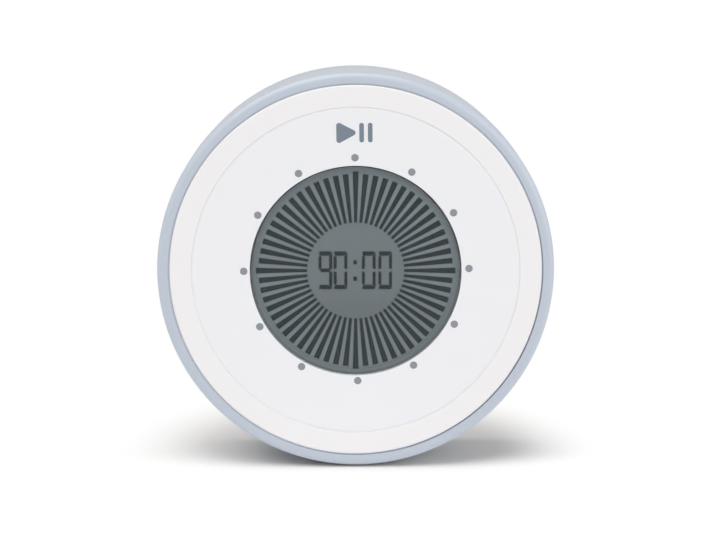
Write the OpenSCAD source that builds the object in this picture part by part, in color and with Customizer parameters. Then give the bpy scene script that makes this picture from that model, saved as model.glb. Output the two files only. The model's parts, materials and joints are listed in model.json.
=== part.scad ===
// Visual timer: a round 90-minute digital timer that stands on its edge.
// Each piece is drawn in a lathe frame (z = 0 on the back plane, z = depth on the face, y up)
// and then turned so that the face looks along -Y and the foot stands on z = 0.

/* [Ring] */
// Outer diameter of the twist ring
ring_d = 80; // [78:1:96]
// Width of the twist ring, back edge to front lip
ring_width = 12.4; // [12.4:0.2:16]
// Radial width of the ring's front lip
ring_lip = 2.25; // [2:0.05:2.6]
// Rounding of the ring's front outer edge
ring_round = 1.3; // [1:0.1:2]
// Number of teeth inside the ring, one for each minute
ring_teeth = 90; // [60:6:90]
// Radial depth of the ring's teeth
tooth_depth = 1.1; // [0.9:0.05:1.2]
// Width of the toothed band inside the ring
tooth_band = 2.6; // [2.2:0.1:3]

/* [Face] */
// Radial width of the fixed white bezel
bezel_w = 4.45; // [4:0.05:6]
// Radial width of the pressed disc, from the display window to its edge
disc_w = 11.45; // [10.5:0.05:14]
// Thickness of the disc and of the bezel's rim
button_t = 2; // [1.6:0.1:2.2]
// Travel of the disc when it is pressed
press_travel = 0.6; // [0.3:0.1:0.8]
// Rounding of the face's outer edge
face_round = 0.6; // [0.3:0.1:0.8]
// Thickness of the display lens
lens_t = 1.2; // [0.8:0.1:1.3]
// Step of the face in front of the ring's lip
face_stand = 0.2; // [0.1:0.1:0.5]

/* [Print] */
// Distance of the circle of minute dots outside the window
dots_out = 1.35; // [1.3:0.05:3]
// Diameter of one minute dot
dot_d = 1.5; // [1:0.1:1.8]
// Turn of the print on the disc, in degrees
print_turn = 0.7; // [0:0.1:3]
// Distance of the start and pause mark's middle outside the window
mark_out = 6.35; // [5:0.05:6.8]
// Height of the start and pause mark
mark_h = 3.9; // [3:0.1:4.4]
// Thickness of the print
print_t = 0.1; // [0.05:0.05:0.2]

/* [Display] */
// Thickness of the display glass
lcd_t = 2; // [1.8:0.1:2.4]
// Number of radial bars
bar_count = 60; // [30:30:60]
// Distance of the bars' inner ends outside the corners of the digit row
bar_clear = 1.4; // [0.5:0.1:3]
// Distance of the bars' outer ends inside the window
bar_margin = 1.7; // [1.6:0.1:4]
// Extra length of the four long bars
bar_extra = 0.5; // [0:0.1:0.8]
// Share of the pitch that a bar fills
bar_fill = 0.57; // [0.4:0.01:0.7]
// Height of a digit
digit_h = 7.6; // [6:0.1:8]
// Width of a digit
digit_w = 2.65; // [2:0.05:2.8]
// Pitch of the two digits of a pair
digit_pitch = 3.1; // [2.9:0.05:3.4]
// Distance of each pair from the middle of the row
digit_inner = 1.52; // [1:0.01:2]
// Thickness of the display's bars and digits
ink_t = 0.1; // [0.05:0.05:0.2]

/* [Base] */
// Depth of the fixed rear base
base_depth = 15; // [15:0.5:20]
// Wall of the rear base
base_wall = 3; // [2.6:0.1:3.2]
// Thickness of the back plate
plate_t = 2.4; // [2.2:0.1:3]
// Rounding of the base's back edge
base_round = 2.6; // [1:0.1:2.8]
// Step of the base inside the ring's outer surface
base_step = 0.3; // [0.2:0.1:1]
// Gap between the ring and the surface that the timer stands on
foot_clear = 0.4; // [0.3:0.1:1]
// Width of the foot pad
foot_w = 24; // [16:1:24]
// Thickness of the foot pad
foot_t = 2.8; // [2.6:0.1:3.2]

/* [Batteries] */
// Diameter of a cell
cell_d = 10.5; // [10:0.1:10.6]
// Length of a cell with its cap
cell_len = 44.5; // [42:0.5:45]
// Free length of a battery spring
cell_spring = 4.9; // [4:0.1:5]
// Height of the battery box's middle, measured from the centre
cells_y = -4; // [-5:0.5:-4]
// Thickness of the battery door
door_t = 1.6; // [1.2:0.1:1.6]
// Ledge round the battery box that the door seats on
door_ledge = 2.2; // [1.5:0.1:2.4]

/* [Back] */
// Diameter of a magnet
magnet_d = 10; // [8:0.5:11]
// Thickness of a magnet
magnet_t = 3; // [2:0.5:4]
// Travel of the volume knob to each side
knob_travel = 2.5; // [1.5:0.5:2.5]
// Diameter of the buzzer
buzzer_d = 12; // [9:1:13]
// Height of the buzzer
buzzer_h = 4.6; // [3:0.1:6]

/* [Fits] */
// Running clearance between turning or sliding pieces
run = 0.3; // [0.2:0.05:0.4]
// Clearance of pieces that are fitted and stay put
fit = 0.1; // [0.05:0.05:0.15]
// Gap between the face and the ring's lip
face_gap = 0.25; // [0.2:0.05:0.4]

/* [Hidden] */
$fn = 96;

// How far a cut runs past the face that it opens, and how far joined solids lap
cut = 1;
lap = 0.1;

// Stack along the axis, from the back plane to the face
ring_r = ring_d / 2;
ring_back = base_depth + run + fit;
ring_front = ring_back + ring_width;
depth = ring_front + face_stand;
axis_h = ring_r + foot_clear;
button_back = depth - button_t;
rim_extra = 0.5;
rim_back = button_back - rim_extra;
lens_back = depth - lens_t;
ink_room = 0.05;
gasket_t = ink_t + ink_room;
ledge_t = 1.2;
press_stop = 0.2;
ledge_front = button_back - press_travel - press_stop;
ledge_back = ledge_front - ledge_t;
hook_front = ledge_back - run;
hook_t = 0.8;
hook_back = hook_front - hook_t;
holder_front = button_back - press_travel - run;
lcd_front = lens_back - gasket_t;
lcd_back = lcd_front - lcd_t;
board_t = 1.6;
switch_room = 5;
board_front = button_back - switch_room;
board_back = board_front - board_t;

// Radii
lip_r = ring_r - ring_lip;
face_r = lip_r - face_gap;
ring_shoulder = 1.15;
ring_bore = lip_r - ring_shoulder;
core_r = ring_bore - run;
core_wall = 2;
core_in = core_r - core_wall;
core_sunk = 2;
core_back = base_depth - core_sunk;
base_r = ring_r - base_step;
base_in = base_r - base_wall;
bezel_in = face_r - bezel_w;
button_r = bezel_in - run;
ledge_w = 1.55;
ledge_r = button_r - ledge_w;
skirt_r = ledge_r - run;
skirt_wall = 1.5;
window_r = button_r - disc_w;
digits_x = -0.2;
dots_r = window_r + dots_out;
mark_y = window_r + mark_out;
lens_r = window_r - run;
lcd_r = lens_r;
bar_out = window_r - bar_margin;
gasket_in = bar_out + bar_extra + fit;
row_half = digit_inner + digit_w + digit_pitch;
bar_in = norm([row_half - digits_x, digit_h / 2]) + bar_clear;
board_room = 1.3;
board_r = core_in - board_room;
holder_in = lcd_r + fit;
holder_wall = 1.8;
holder_r = holder_in + holder_wall;
holder_lip = 1;
holder_ledge = holder_in - holder_lip;

// Gear that reads the ring
pinion_teeth = ring_teeth / 6;
tooth_root = ring_bore + tooth_depth;
pitch_r = ring_bore + tooth_depth / 2;
pinion_pitch = pitch_r * pinion_teeth / ring_teeth;
pinion_y = pitch_r - pinion_pitch;
pinion_r = pinion_pitch + tooth_depth / 2 - run;
pinion_root = pinion_pitch - tooth_depth / 2 - run;
pinion_step = 0.2;
pinion_t = tooth_band - 2 * run - pinion_step;
pinion_back = ring_back + pinion_step;
axle_r = 1;
axle_short = 0.2;
lug_w = 8;
lug_in = 3;
magnet_disc_r = 2;
magnet_disc_t = 0.7;
sensor_t = board_back - pinion_back - pinion_t - magnet_disc_t - run;

// Screws that join base and core, and the board to the core
boss_r = 3.2;
boss_in = 2.8;
boss_ring = core_in - boss_in;
boss_angles = [30, 150, 232, 308];
screw_r = 1;
screw_head_r = 2;
screw_head_h = 1.5;
cross_len = 2.6;
cross_w = 0.5;
screw_seat = 4.6;
screw_grip = 2.5;
screw_tip = core_back + screw_grip;
board_head_h = 0.9;
board_head_r = 1.7;
board_screw_gap = 1;
board_screw_tip = screw_tip + board_screw_gap;

// Battery box
cell_r = cell_d / 2;
cell_gap = 0.7;
cell_z = door_t + run + cell_r;
box_top = cell_z + cell_r + run;
box_wall = 1.2;
plate_metal = 0.3;
box_x = (cell_len + cell_spring) / 2 + plate_metal;
box_y = cell_d + cell_gap / 2 + run;
door_x = box_x + door_ledge;
door_y = box_y + door_ledge;
tab_w = 7;
tab_len = 6;
tab_root = 1;
tab_y = cells_y - door_y - tab_len / 2 + tab_root;
door_boss_r = 3;
door_boss_top = 8;
door_screw_sink = 0.9;
door_screw_tip = 7;
slot_len = 2;
slot_w = 3.2;
cap_r = 1.9;
cap_len = 0.9;
coil_r = 3.4;
coil_wire = 0.6;
plate_low = 1;
lead_r = 0.5;
lead_tab = 0.5;
lead_tab_w = 2.4;
grip_pitch = 2.2;
grip_w = 1;
grip_len = 5;
grip_sink = 0.5;

// Back furniture
magnet_r = magnet_d / 2;
magnet_in = 1.7;
magnet_ring = base_in - magnet_r - magnet_in;
magnet_angles = [55, 125, 250, 290];
magnet_sink = 0.2;
magnet_wall = 1.2;
knob_off = 3.65;
knob_y = cells_y + door_y + knob_off;
knob_w = 3.4;
knob_h = 4;
knob_recess = 1.4;
knob_top = 0.3;
stem_w = 1.2;
stem_h = 1.4;
switch_w = 10;
switch_h = 4.4;
switch_t = 3;
switch_floor = 1;
knob_rib = 0.9;
knob_groove = 0.25;
buzzer_in = 10.7;
buzzer_y = base_in - buzzer_in;
sound_hole_r = 0.6;
sound_ring = 2.6;
buzzer_hole_r = 1.2;
buzzer_hole = 1.5;

// Face mechanics
hook_angles = [0, 120, 240];
hook_half = 6;
hook_reach = 1.6;
disc_round = 0.25;
print_clear = 0.02;
spring_angles = [45, 165, 285];
spring_r = 1.3;
spring_wire = 0.35;
spring_ring = (holder_r + skirt_r - skirt_wall) / 2;
switch_angle = 90;
tact_w = 4.2;
tact_d = 3;
tact_h = 2.5;
plunger_r = 0.9;
plunger_h = 1;
pusher_r = 1.3;
detent_angle = 90;
leaf_len = 16.6;
leaf_half = leaf_len / 2 / core_in * 180 / PI;
leaf_t = 0.3;
nub_w = 2;
nub_room = 2;

// Display: segments, colon, backing sheet and connectors
digit_bar = 0.8;
digit_mid = 0.8;
digit_post = 0.6;
digit_slit = 0.05;
digit_waist = 0.18;
colon_x = 0.06;
colon_w = 0.68;
colon_h = 0.8;
colon_rows = [0.28, 0.72];
zebra_w = 2;
zebra_len = 16;
zebra_in = 4.1;
zebra_y = lcd_r - zebra_in;
reflector_t = 0.3;
reflector_room = 1.4;
reflector_r = zebra_y - zebra_w / 2 - reflector_room;

// Parts on the board
chip_w = 8;
chip_t = 1;
crystal_w = 3.8;
crystal_len = 7;
crystal_t = 1.2;
crystal_off = 5;
sensor_w = 3;
tact_floor = 0.8;

// Start and pause mark: the arrow's sharp outline before rounding, and the two bars' left edges
mark_left = -3.66;
arrow_tip = 0.78;
arrow_over = 0.41;
arrow_round = 0.53;
pause_bars = [0.93, 2.64];
pause_w = 0.92;
pause_round = 0.4;

// Offset of the print from the middle of the disc
print_right = 0.14;
print_up = 0.3;

// Outline of the foot pad's seat in the base
foot_seat = axis_h - foot_t;
foot_back = 1.2;
foot_rim = 0.7;
foot_front = base_depth - foot_rim;
foot_round = 0.6;

module place() {
    translate([0, depth / 2, axis_h])
        rotate([90, 0, 0])
            children();
}

module disc(r, z0, z1) {
    translate([0, 0, z0])
        cylinder(r = r, h = z1 - z0);
}

module tube(r_out, r_in, z0, z1) {
    translate([0, 0, z0])
        rotate_extrude()
            translate([r_in, 0])
                square([r_out - r_in, z1 - z0]);
}

module slab(x, y, z0, z1) {
    translate([-x / 2, -y / 2, z0])
        cube([x, y, z1 - z0]);
}

module at_angle(angle, r) {
    translate([r * cos(angle), r * sin(angle), 0])
        children();
}

// Section of a disc or ring from r_in to r_out whose front outer corner is an arc
module rounded_section(r_in, r_out, z0, z1, round) {
    translate([r_in, z0])
        square([r_out - r_in, z1 - round - z0]);
    translate([r_in, z0])
        square([r_out - round - r_in, z1 - z0]);
    translate([r_out - round, z1 - round])
        intersection() {
            circle(r = round);
            square(round);
        }
}

// Wedge between two angles, used to keep a sector of a tube
module sector(angle, half, r, z0, z1) {
    reach = r / cos(half) + 1;
    translate([0, 0, z0])
        linear_extrude(z1 - z0)
            polygon([[0, 0], reach * [cos(angle - half), sin(angle - half)],
                reach * [cos(angle + half), sin(angle + half)]]);
}

// Teeth as trapezoids from r_root to r_tip, each width given in degrees
module tooth_outline(count, r_root, r_tip, root_deg, tip_deg, phase) {
    for (i = [0:count - 1]) {
        a = phase + i * 360 / count;
        polygon([r_root * [cos(a - root_deg / 2), sin(a - root_deg / 2)],
            r_tip * [cos(a - tip_deg / 2), sin(a - tip_deg / 2)],
            r_tip * [cos(a + tip_deg / 2), sin(a + tip_deg / 2)],
            r_root * [cos(a + root_deg / 2), sin(a + root_deg / 2)]]);
    }
}

// Crossed slots of a screw head
module cross_recess(z0, z1) {
    slab(cross_len, cross_w, z0, z1);
    slab(cross_w, cross_len, z0, z1);
}

// Points of a polygon with each corner replaced by an arc of the given radius
function corner_arc(a, b, c, r, steps) =
    let (u = (a - b) / norm(a - b), v = (c - b) / norm(c - b),
        half = acos(u * v) / 2,
        mid = b + (u + v) / norm(u + v) * r / sin(half),
        first = b + u * r / tan(half) - mid,
        last = b + v * r / tan(half) - mid,
        start = atan2(first[1], first[0]),
        sweep = atan2(last[1], last[0]) - start,
        turn = sweep > 180 ? sweep - 360 : sweep < -180 ? sweep + 360 : sweep)
    [for (i = [0:steps]) mid + r * [cos(start + turn * i / steps), sin(start + turn * i / steps)]];

function rounded_points(points, r, steps = 6) =
    let (n = len(points))
    [for (i = [0:n - 1])
        for (p = corner_arc(points[(i + n - 1) % n], points[i], points[(i + 1) % n], r, steps)) p];

function box_points(x0, x1, y0, y1) = [[x0, y0], [x1, y0], [x1, y1], [x0, y1]];

module base_shell() {
    translate([0, 0, base_depth])
        mirror([0, 0, 1])
            rotate_extrude()
                rounded_section(0, base_r, 0, base_depth, base_round);
}

module box_outline(x, y) {
    translate([-x, cells_y - y])
        square([2 * x, 2 * y]);
}

module door_outline(clear) {
    box_outline(door_x - clear, door_y - clear);
    translate([-tab_w / 2 + clear, cells_y - door_y - tab_len + tab_root + clear])
        square([tab_w - 2 * clear, tab_len]);
}

module base_inside() {
    for (a = boss_angles)
        at_angle(a, boss_ring)
            disc(boss_r, plate_t, core_back);
    for (a = magnet_angles)
        at_angle(a, magnet_ring)
            disc(magnet_r + magnet_wall, plate_t, magnet_sink + magnet_t + magnet_wall);
    translate([0, tab_y])
        disc(door_boss_r, plate_t, door_boss_top);
    translate([0, 0, plate_t])
        linear_extrude(box_top + box_wall - plate_t)
            box_outline(box_x + box_wall, box_y + box_wall);
}

module base_cuts() {
    for (a = boss_angles)
        at_angle(a, boss_ring) {
            disc(screw_head_r + run, -cut, screw_seat);
            disc(screw_r + fit, 0, core_back + cut);
        }
    for (a = magnet_angles)
        at_angle(a, magnet_ring)
            disc(magnet_r + fit, -cut, magnet_sink + magnet_t);
    translate([0, 0, -cut])
        linear_extrude(door_t + cut)
            door_outline(0);
    translate([0, 0, -cut])
        linear_extrude(box_top + cut)
            box_outline(box_x, box_y);
    translate([0, tab_y])
        disc(screw_r + 2 * fit, -cut, door_screw_tip + run);
    for (side = [-1, 1])
        translate([side * (box_x - slot_len / 2), cells_y])
            slab(slot_len, slot_w, box_top - cut, box_top + box_wall + cut);
    translate([0, knob_y])
        slab(2 * knob_travel + knob_w + 2 * run, knob_h + 2 * run, -cut, knob_recess);
    translate([0, knob_y])
        slab(2 * knob_travel + stem_w + 2 * run, stem_h + 2 * run, -cut, plate_t + cut);
    translate([0, buzzer_y]) {
        disc(sound_hole_r, -cut, plate_t + cut);
        for (a = [0:60:300])
            at_angle(a, sound_ring)
                disc(sound_hole_r, -cut, plate_t + cut);
    }
    translate([-ring_r, -ring_r - foot_clear, foot_back - fit])
        cube([2 * ring_r, foot_t, foot_front - foot_back + 2 * fit]);
}

module rear_base() {
    color([0.76, 0.79, 0.83])
        place()
            difference() {
                union() {
                    difference() {
                        base_shell();
                        disc(base_in, plate_t, base_depth + cut);
                    }
                    base_inside();
                }
                base_cuts();
            }
}

module foot_pad() {
    color([0.3, 0.31, 0.33])
        place()
            translate([0, 0, foot_back])
                linear_extrude(foot_front - foot_back)
                    polygon(rounded_points(box_points(-foot_w / 2, foot_w / 2, -axis_h, -foot_seat), foot_round));
}

module core_frame() {
    color([0.86, 0.87, 0.88])
        place()
            difference() {
                union() {
                    tube(core_r, core_in, core_back, rim_back);
                    for (a = boss_angles)
                        intersection() {
                            at_angle(a, boss_ring)
                                disc(boss_r, core_back, board_back);
                            disc(core_r - core_wall / 4, core_back, board_back);
                        }
                    translate([-lug_w / 2, -core_in - core_wall / 4, core_back])
                        cube([lug_w, core_in + core_wall / 4 - pinion_y + lug_in, pinion_back - run - core_back]);
                }
                for (a = boss_angles)
                    at_angle(a, boss_ring) {
                        disc(screw_r + fit / 2, core_back - cut, screw_tip + run);
                        disc(screw_r + fit / 2, board_screw_tip - run, board_back + cut);
                    }
                translate([0, -pinion_y])
                    disc(axle_r, core_back - cut, depth);
                translate([0, -core_r])
                    slab(2 * pinion_r, 2 * core_r - 2 * pinion_y, pinion_back - run, pinion_back + pinion_t + run);
                translate([0, core_r])
                    slab(nub_w + nub_room, 4 * core_wall, ring_back - run, ring_back + tooth_band + run);
            }
}

module twist_ring() {
    notch_deg = 0.62 * 360 / ring_teeth;
    color([0.74, 0.78, 0.82])
        place()
            difference() {
                rotate_extrude() {
                    rounded_section(lip_r, ring_r, ring_back, ring_front, ring_round);
                    translate([ring_bore, ring_back])
                        square([ring_shoulder + ring_lip / 4, rim_back - run - ring_back]);
                }
                translate([0, 0, ring_back - cut])
                    linear_extrude(tooth_band + cut)
                        tooth_outline(ring_teeth, ring_bore - tooth_depth / 2, tooth_root,
                            notch_deg * 1.1, notch_deg * 0.9, 270);
            }
}

module face_bezel() {
    color([0.94, 0.93, 0.935])
        place()
            difference() {
                union() {
                    rotate_extrude()
                        rounded_section(bezel_in, face_r, rim_back, depth, face_round);
                    tube(core_in - fit, ledge_r, ledge_back, ledge_front);
                    tube(core_in - fit, bezel_in, ledge_back, depth - face_round);
                }
            }
}

module mark_outline(clear) {
    half = mark_h / 2;
    translate([print_right, print_up])
        rotate(print_turn)
            translate([0, mark_y]) {
                polygon(rounded_points([[mark_left - clear, -half - arrow_over - clear],
                    [arrow_tip + clear, 0], [mark_left - clear, half + arrow_over + clear]], arrow_round));
                for (x = pause_bars)
                    polygon(rounded_points(box_points(x - clear, x + pause_w + clear,
                        -half - clear, half + clear), pause_round));
            }
}

module dots_outline(clear) {
    translate([print_right, print_up])
        for (i = [0:11])
            rotate(print_turn + i * 30)
                translate([dots_r, 0])
                    circle(r = dot_d / 2 + clear, $fn = 48);
}

module face_button() {
    color([0.935, 0.935, 0.945])
        place()
            difference() {
                union() {
                    rotate_extrude()
                        rounded_section(window_r, button_r, button_back, depth, disc_round);
                    tube(skirt_r, skirt_r - skirt_wall, hook_back, button_back + lap);
                    for (a = hook_angles)
                        intersection() {
                            tube(skirt_r + hook_reach, skirt_r - skirt_wall, hook_back, hook_front);
                            sector(a, hook_half, button_r, hook_back, hook_front);
                        }
                    at_angle(switch_angle, spring_ring)
                        disc(pusher_r, board_front + tact_h + plunger_h, button_back + lap);
                }
                translate([0, 0, depth - print_t])
                    linear_extrude(cut) {
                        dots_outline(print_clear);
                        mark_outline(print_clear);
                    }
            }
}

module minute_dots() {
    color([0.62, 0.65, 0.69])
        place()
            translate([0, 0, depth - print_t])
                linear_extrude(print_t)
                    dots_outline(0);
}

module play_pause_mark() {
    color([0.49, 0.55, 0.63])
        place()
            translate([0, 0, depth - print_t])
                linear_extrude(print_t)
                    mark_outline(0);
}

module display_lens() {
    color([0.8, 0.84, 0.85, 0.4])
        place()
            disc(lens_r, lens_back, depth);
}

module lens_gasket() {
    color([0.2, 0.2, 0.21])
        place()
            tube(lens_r, gasket_in, lcd_front, lens_back);
}

module lcd_glass() {
    color([0.44, 0.48, 0.485])
        place()
            disc(lcd_r, lcd_back, lcd_front);
}

module lcd_minute_bars() {
    pitch = 360 / bar_count;
    quarter = bar_count / 4;
    color([0.22, 0.26, 0.275])
        place()
            translate([0, 0, lcd_front])
                linear_extrude(ink_t)
                    for (i = [0:bar_count - 1])
                        tooth_outline(1, bar_in, bar_out + (i % quarter == 0 ? bar_extra : 0),
                            pitch * bar_fill, pitch * bar_fill, 90 - i * pitch);
}

// Segments of a digit: a top, b and c right, d bottom, e and f left, g middle
module digit(lit) {
    h = digit_h;
    w = digit_w;
    bar = digit_bar;
    post = digit_post;
    slit = digit_slit;
    tall = h / 2 - bar - slit - digit_waist;
    rows = [["a", 0, h - bar, w, bar], ["d", 0, 0, w, bar],
        ["g", post + slit, h / 2 - digit_mid / 2, w - 2 * post - 2 * slit, digit_mid]];
    posts = [["f", 0, h / 2 + digit_waist], ["b", w - post, h / 2 + digit_waist],
        ["e", 0, bar + slit], ["c", w - post, bar + slit]];
    for (row = rows)
        if (len(search(row[0], lit)) > 0)
            translate([row[1], row[2]])
                square([row[3], row[4]]);
    for (p = posts)
        if (len(search(p[0], lit)) > 0)
            translate([p[1], p[2]])
                square([post, tall]);
}

module lcd_digits() {
    nine = "abcdfg";
    zero = "abcdef";
    left = digits_x - digit_inner - digit_w;
    right = digits_x + digit_inner;
    starts = [left - digit_pitch, left, right, right + digit_pitch];
    color([0.22, 0.26, 0.275])
        place()
            translate([0, -digit_h / 2, lcd_front])
                linear_extrude(ink_t) {
                    for (i = [0:3])
                        translate([starts[i], 0])
                            digit(i == 0 ? nine : zero);
                    for (y = colon_rows)
                        translate([colon_x - colon_w / 2, y * digit_h - colon_h / 2])
                            square([colon_w, colon_h]);
                }
}

module lcd_reflector() {
    color([0.75, 0.77, 0.78])
        place()
            disc(reflector_r, lcd_back - reflector_t, lcd_back);
}

module lcd_holder() {
    color([0.9, 0.9, 0.9])
        place() {
            tube(holder_r, holder_in, board_front, holder_front);
            tube(holder_in + lap, holder_ledge, board_front, lcd_back);
        }
}

module zebra_strips() {
    color([0.35, 0.35, 0.36])
        place()
            for (side = [-1, 1])
                translate([0, side * zebra_y])
                    slab(zebra_len, zebra_w, board_front, lcd_back);
}

module main_board() {
    color([0.1, 0.35, 0.2])
        place()
            difference() {
                disc(board_r, board_back, board_front);
                for (a = boss_angles)
                    at_angle(a, boss_ring)
                        disc(screw_r + fit, board_back - cut, board_front + cut);
            }
}

module controller_chip() {
    color([0.12, 0.12, 0.13])
        place()
            slab(chip_w, chip_w, board_back - chip_t, board_back);
}

module crystal() {
    color([0.75, 0.76, 0.78])
        place()
            translate([chip_w / 2 + crystal_off, crystal_w])
                slab(crystal_w, crystal_len, board_back - crystal_t, board_back);
}

module hall_sensor() {
    color([0.12, 0.12, 0.13])
        place()
            translate([0, -pinion_y])
                slab(sensor_w, sensor_w, board_back - sensor_t, board_back);
}

module start_switch() {
    color([0.2, 0.2, 0.21])
        place()
            at_angle(switch_angle, spring_ring)
                difference() {
                    slab(tact_w, tact_d, board_front, board_front + tact_h);
                    disc(plunger_r + fit, board_front + tact_floor, depth);
                }
}

module switch_plunger() {
    color([0.85, 0.85, 0.8])
        place()
            at_angle(switch_angle, spring_ring)
                disc(plunger_r, board_front + tact_floor + press_travel + fit, board_front + tact_h + plunger_h);
}

module return_springs() {
    color([0.7, 0.71, 0.73])
        place()
            for (a = spring_angles)
                at_angle(a, spring_ring)
                    tube(spring_r, spring_r - spring_wire, board_front, button_back);
}

module encoder_pinion() {
    tooth_deg = 0.4 * 360 / pinion_teeth;
    color([0.88, 0.87, 0.82])
        place()
            translate([0, -pinion_y, pinion_back])
                difference() {
                    union() {
                        cylinder(r = pinion_root, h = pinion_t);
                        linear_extrude(pinion_t)
                            tooth_outline(pinion_teeth, pinion_root - tooth_depth / 3, pinion_r,
                                tooth_deg * 1.2, tooth_deg * 0.7, 270);
                    }
                    translate([0, 0, -cut])
                        cylinder(r = axle_r + fit, h = pinion_t + 2);
                }
}

module encoder_axle() {
    color([0.7, 0.71, 0.73])
        place()
            translate([0, -pinion_y])
                disc(axle_r, core_back, pinion_back + pinion_t - axle_short);
}

module encoder_magnet() {
    color([0.35, 0.35, 0.37])
        place()
            translate([0, -pinion_y])
                disc(magnet_disc_r, pinion_back + pinion_t, pinion_back + pinion_t + magnet_disc_t);
}

module detent_spring() {
    leaf_in = core_in - leaf_t - fit / 2;
    color([0.75, 0.72, 0.62])
        place()
            union() {
                intersection() {
                    tube(leaf_in + leaf_t, leaf_in, ring_back, ring_back + tooth_band - run);
                    sector(detent_angle, leaf_half, core_in, ring_back, ring_back + tooth_band - run);
                }
                at_angle(detent_angle, (leaf_in + core_r) / 2)
                    slab(nub_w, core_r - leaf_in, ring_back, ring_back + tooth_band - run);
            }
}

module buzzer() {
    color([0.13, 0.13, 0.14])
        place()
            translate([0, buzzer_y])
                difference() {
                    disc(buzzer_d / 2, plate_t, plate_t + buzzer_h);
                    disc(buzzer_hole_r, plate_t - cut, plate_t + buzzer_hole);
                }
}

// One cell along x, cap towards +x
module cell() {
    x0 = -box_x + plate_metal + cell_spring;
    translate([x0, 0, cell_z])
        rotate([0, 90, 0]) {
            cylinder(r = cell_r, h = cell_len - cap_len);
            cylinder(r = cap_r, h = cell_len);
        }
}

module battery_cell_upper() {
    color([0.25, 0.42, 0.3])
        place()
            translate([0, cells_y + cell_r + cell_gap / 2])
                cell();
}

module battery_cell_lower() {
    color([0.25, 0.42, 0.3])
        place()
            translate([0, cells_y - cell_r - cell_gap / 2])
                rotate([0, 0, 180])
                    cell();
}

module battery_springs() {
    color([0.78, 0.79, 0.8])
        place()
            for (side = [-1, 1])
                translate([side * (box_x - plate_metal), cells_y - side * (cell_r + cell_gap / 2), cell_z])
                    rotate([0, -side * 90, 0])
                        tube(coil_r, coil_r - coil_wire, 0, cell_spring);
}

module contact_plates() {
    color([0.78, 0.79, 0.8])
        place()
            for (side = [-1, 1])
                translate([side * (box_x - plate_metal / 2), cells_y]) {
                    slab(plate_metal, 2 * cell_d, door_t + plate_low, box_top);
                    slab(plate_metal, lead_tab_w, door_t + plate_low, box_top + box_wall + lead_tab);
                }
}

module battery_leads() {
    color([0.7, 0.15, 0.12])
        place()
            for (side = [-1, 1])
                translate([side * (box_x - plate_metal / 2), cells_y])
                    disc(lead_r, box_top + box_wall + lead_tab, board_back);
}

module battery_door() {
    color([0.76, 0.79, 0.83])
        place()
            difference() {
                linear_extrude(door_t)
                    door_outline(run);
                translate([0, tab_y])
                    disc(screw_head_r + fit, -cut, door_screw_sink);
                translate([0, tab_y])
                    disc(screw_r + fit, -cut, door_t + cut);
                for (i = [-2:2])
                    translate([i * grip_pitch, cells_y + door_y - grip_len])
                        slab(grip_w, grip_len, -cut, grip_sink);
            }
}

module battery_door_screw() {
    color([0.72, 0.73, 0.75])
        place()
            translate([0, tab_y])
                difference() {
                    union() {
                        disc(screw_head_r, fit, door_screw_sink);
                        disc(screw_r, door_screw_sink - lap, door_screw_tip);
                    }
                    cross_recess(-cut, door_screw_sink / 2);
                }
}

module volume_knob() {
    color([0.5, 0.53, 0.57])
        place()
            translate([0, knob_y])
                difference() {
                    union() {
                        slab(knob_w, knob_h, knob_top, knob_recess - 2 * fit);
                        slab(stem_w, stem_h, knob_top + knob_groove, plate_t + switch_t - switch_floor);
                    }
                    for (i = [-1:1])
                        translate([i * knob_rib, 0])
                            slab(knob_rib / 2, knob_h + cut, knob_top - cut, knob_top + knob_groove);
                }
}

module volume_switch() {
    color([0.2, 0.2, 0.21])
        place()
            translate([0, knob_y])
                difference() {
                    slab(switch_w, switch_h, plate_t, plate_t + switch_t);
                    slab(2 * knob_travel + stem_w + 2 * run, stem_h + 2 * run, plate_t - cut,
                        plate_t + switch_t - switch_floor + run);
                }
}

module magnets() {
    color([0.7, 0.7, 0.72])
        place()
            for (a = magnet_angles)
                at_angle(a, magnet_ring)
                    disc(magnet_r, magnet_sink, magnet_sink + magnet_t);
}

module housing_screws() {
    color([0.72, 0.73, 0.75])
        place()
            for (a = boss_angles)
                at_angle(a, boss_ring)
                    difference() {
                        union() {
                            disc(screw_head_r, screw_seat - screw_head_h, screw_seat);
                            disc(screw_r, screw_seat - lap, screw_tip);
                        }
                        cross_recess(0, screw_seat - screw_head_h / 2);
                    }
}

module board_screws() {
    color([0.72, 0.73, 0.75])
        place()
            for (a = boss_angles)
                at_angle(a, boss_ring) {
                    disc(board_head_r, board_front, board_front + board_head_h);
                    disc(screw_r, board_screw_tip, board_front + lap);
                }
}

rear_base();
foot_pad();
core_frame();
twist_ring();
face_bezel();
face_button();
minute_dots();
play_pause_mark();
display_lens();
lens_gasket();
lcd_glass();
lcd_minute_bars();
lcd_digits();
lcd_reflector();
lcd_holder();
zebra_strips();
main_board();
controller_chip();
crystal();
hall_sensor();
start_switch();
switch_plunger();
return_springs();
encoder_pinion();
encoder_axle();
encoder_magnet();
detent_spring();
buzzer();
battery_cell_upper();
battery_cell_lower();
battery_springs();
contact_plates();
battery_leads();
battery_door();
battery_door_screw();
volume_knob();
volume_switch();
magnets();
housing_screws();
board_screws();
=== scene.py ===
"""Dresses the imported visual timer.

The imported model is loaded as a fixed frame. The turned, wound and moulded pieces are drawn again as
smooth surfaces, every other node gets a finish, and a plain white studio is set round it.
"""

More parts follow.
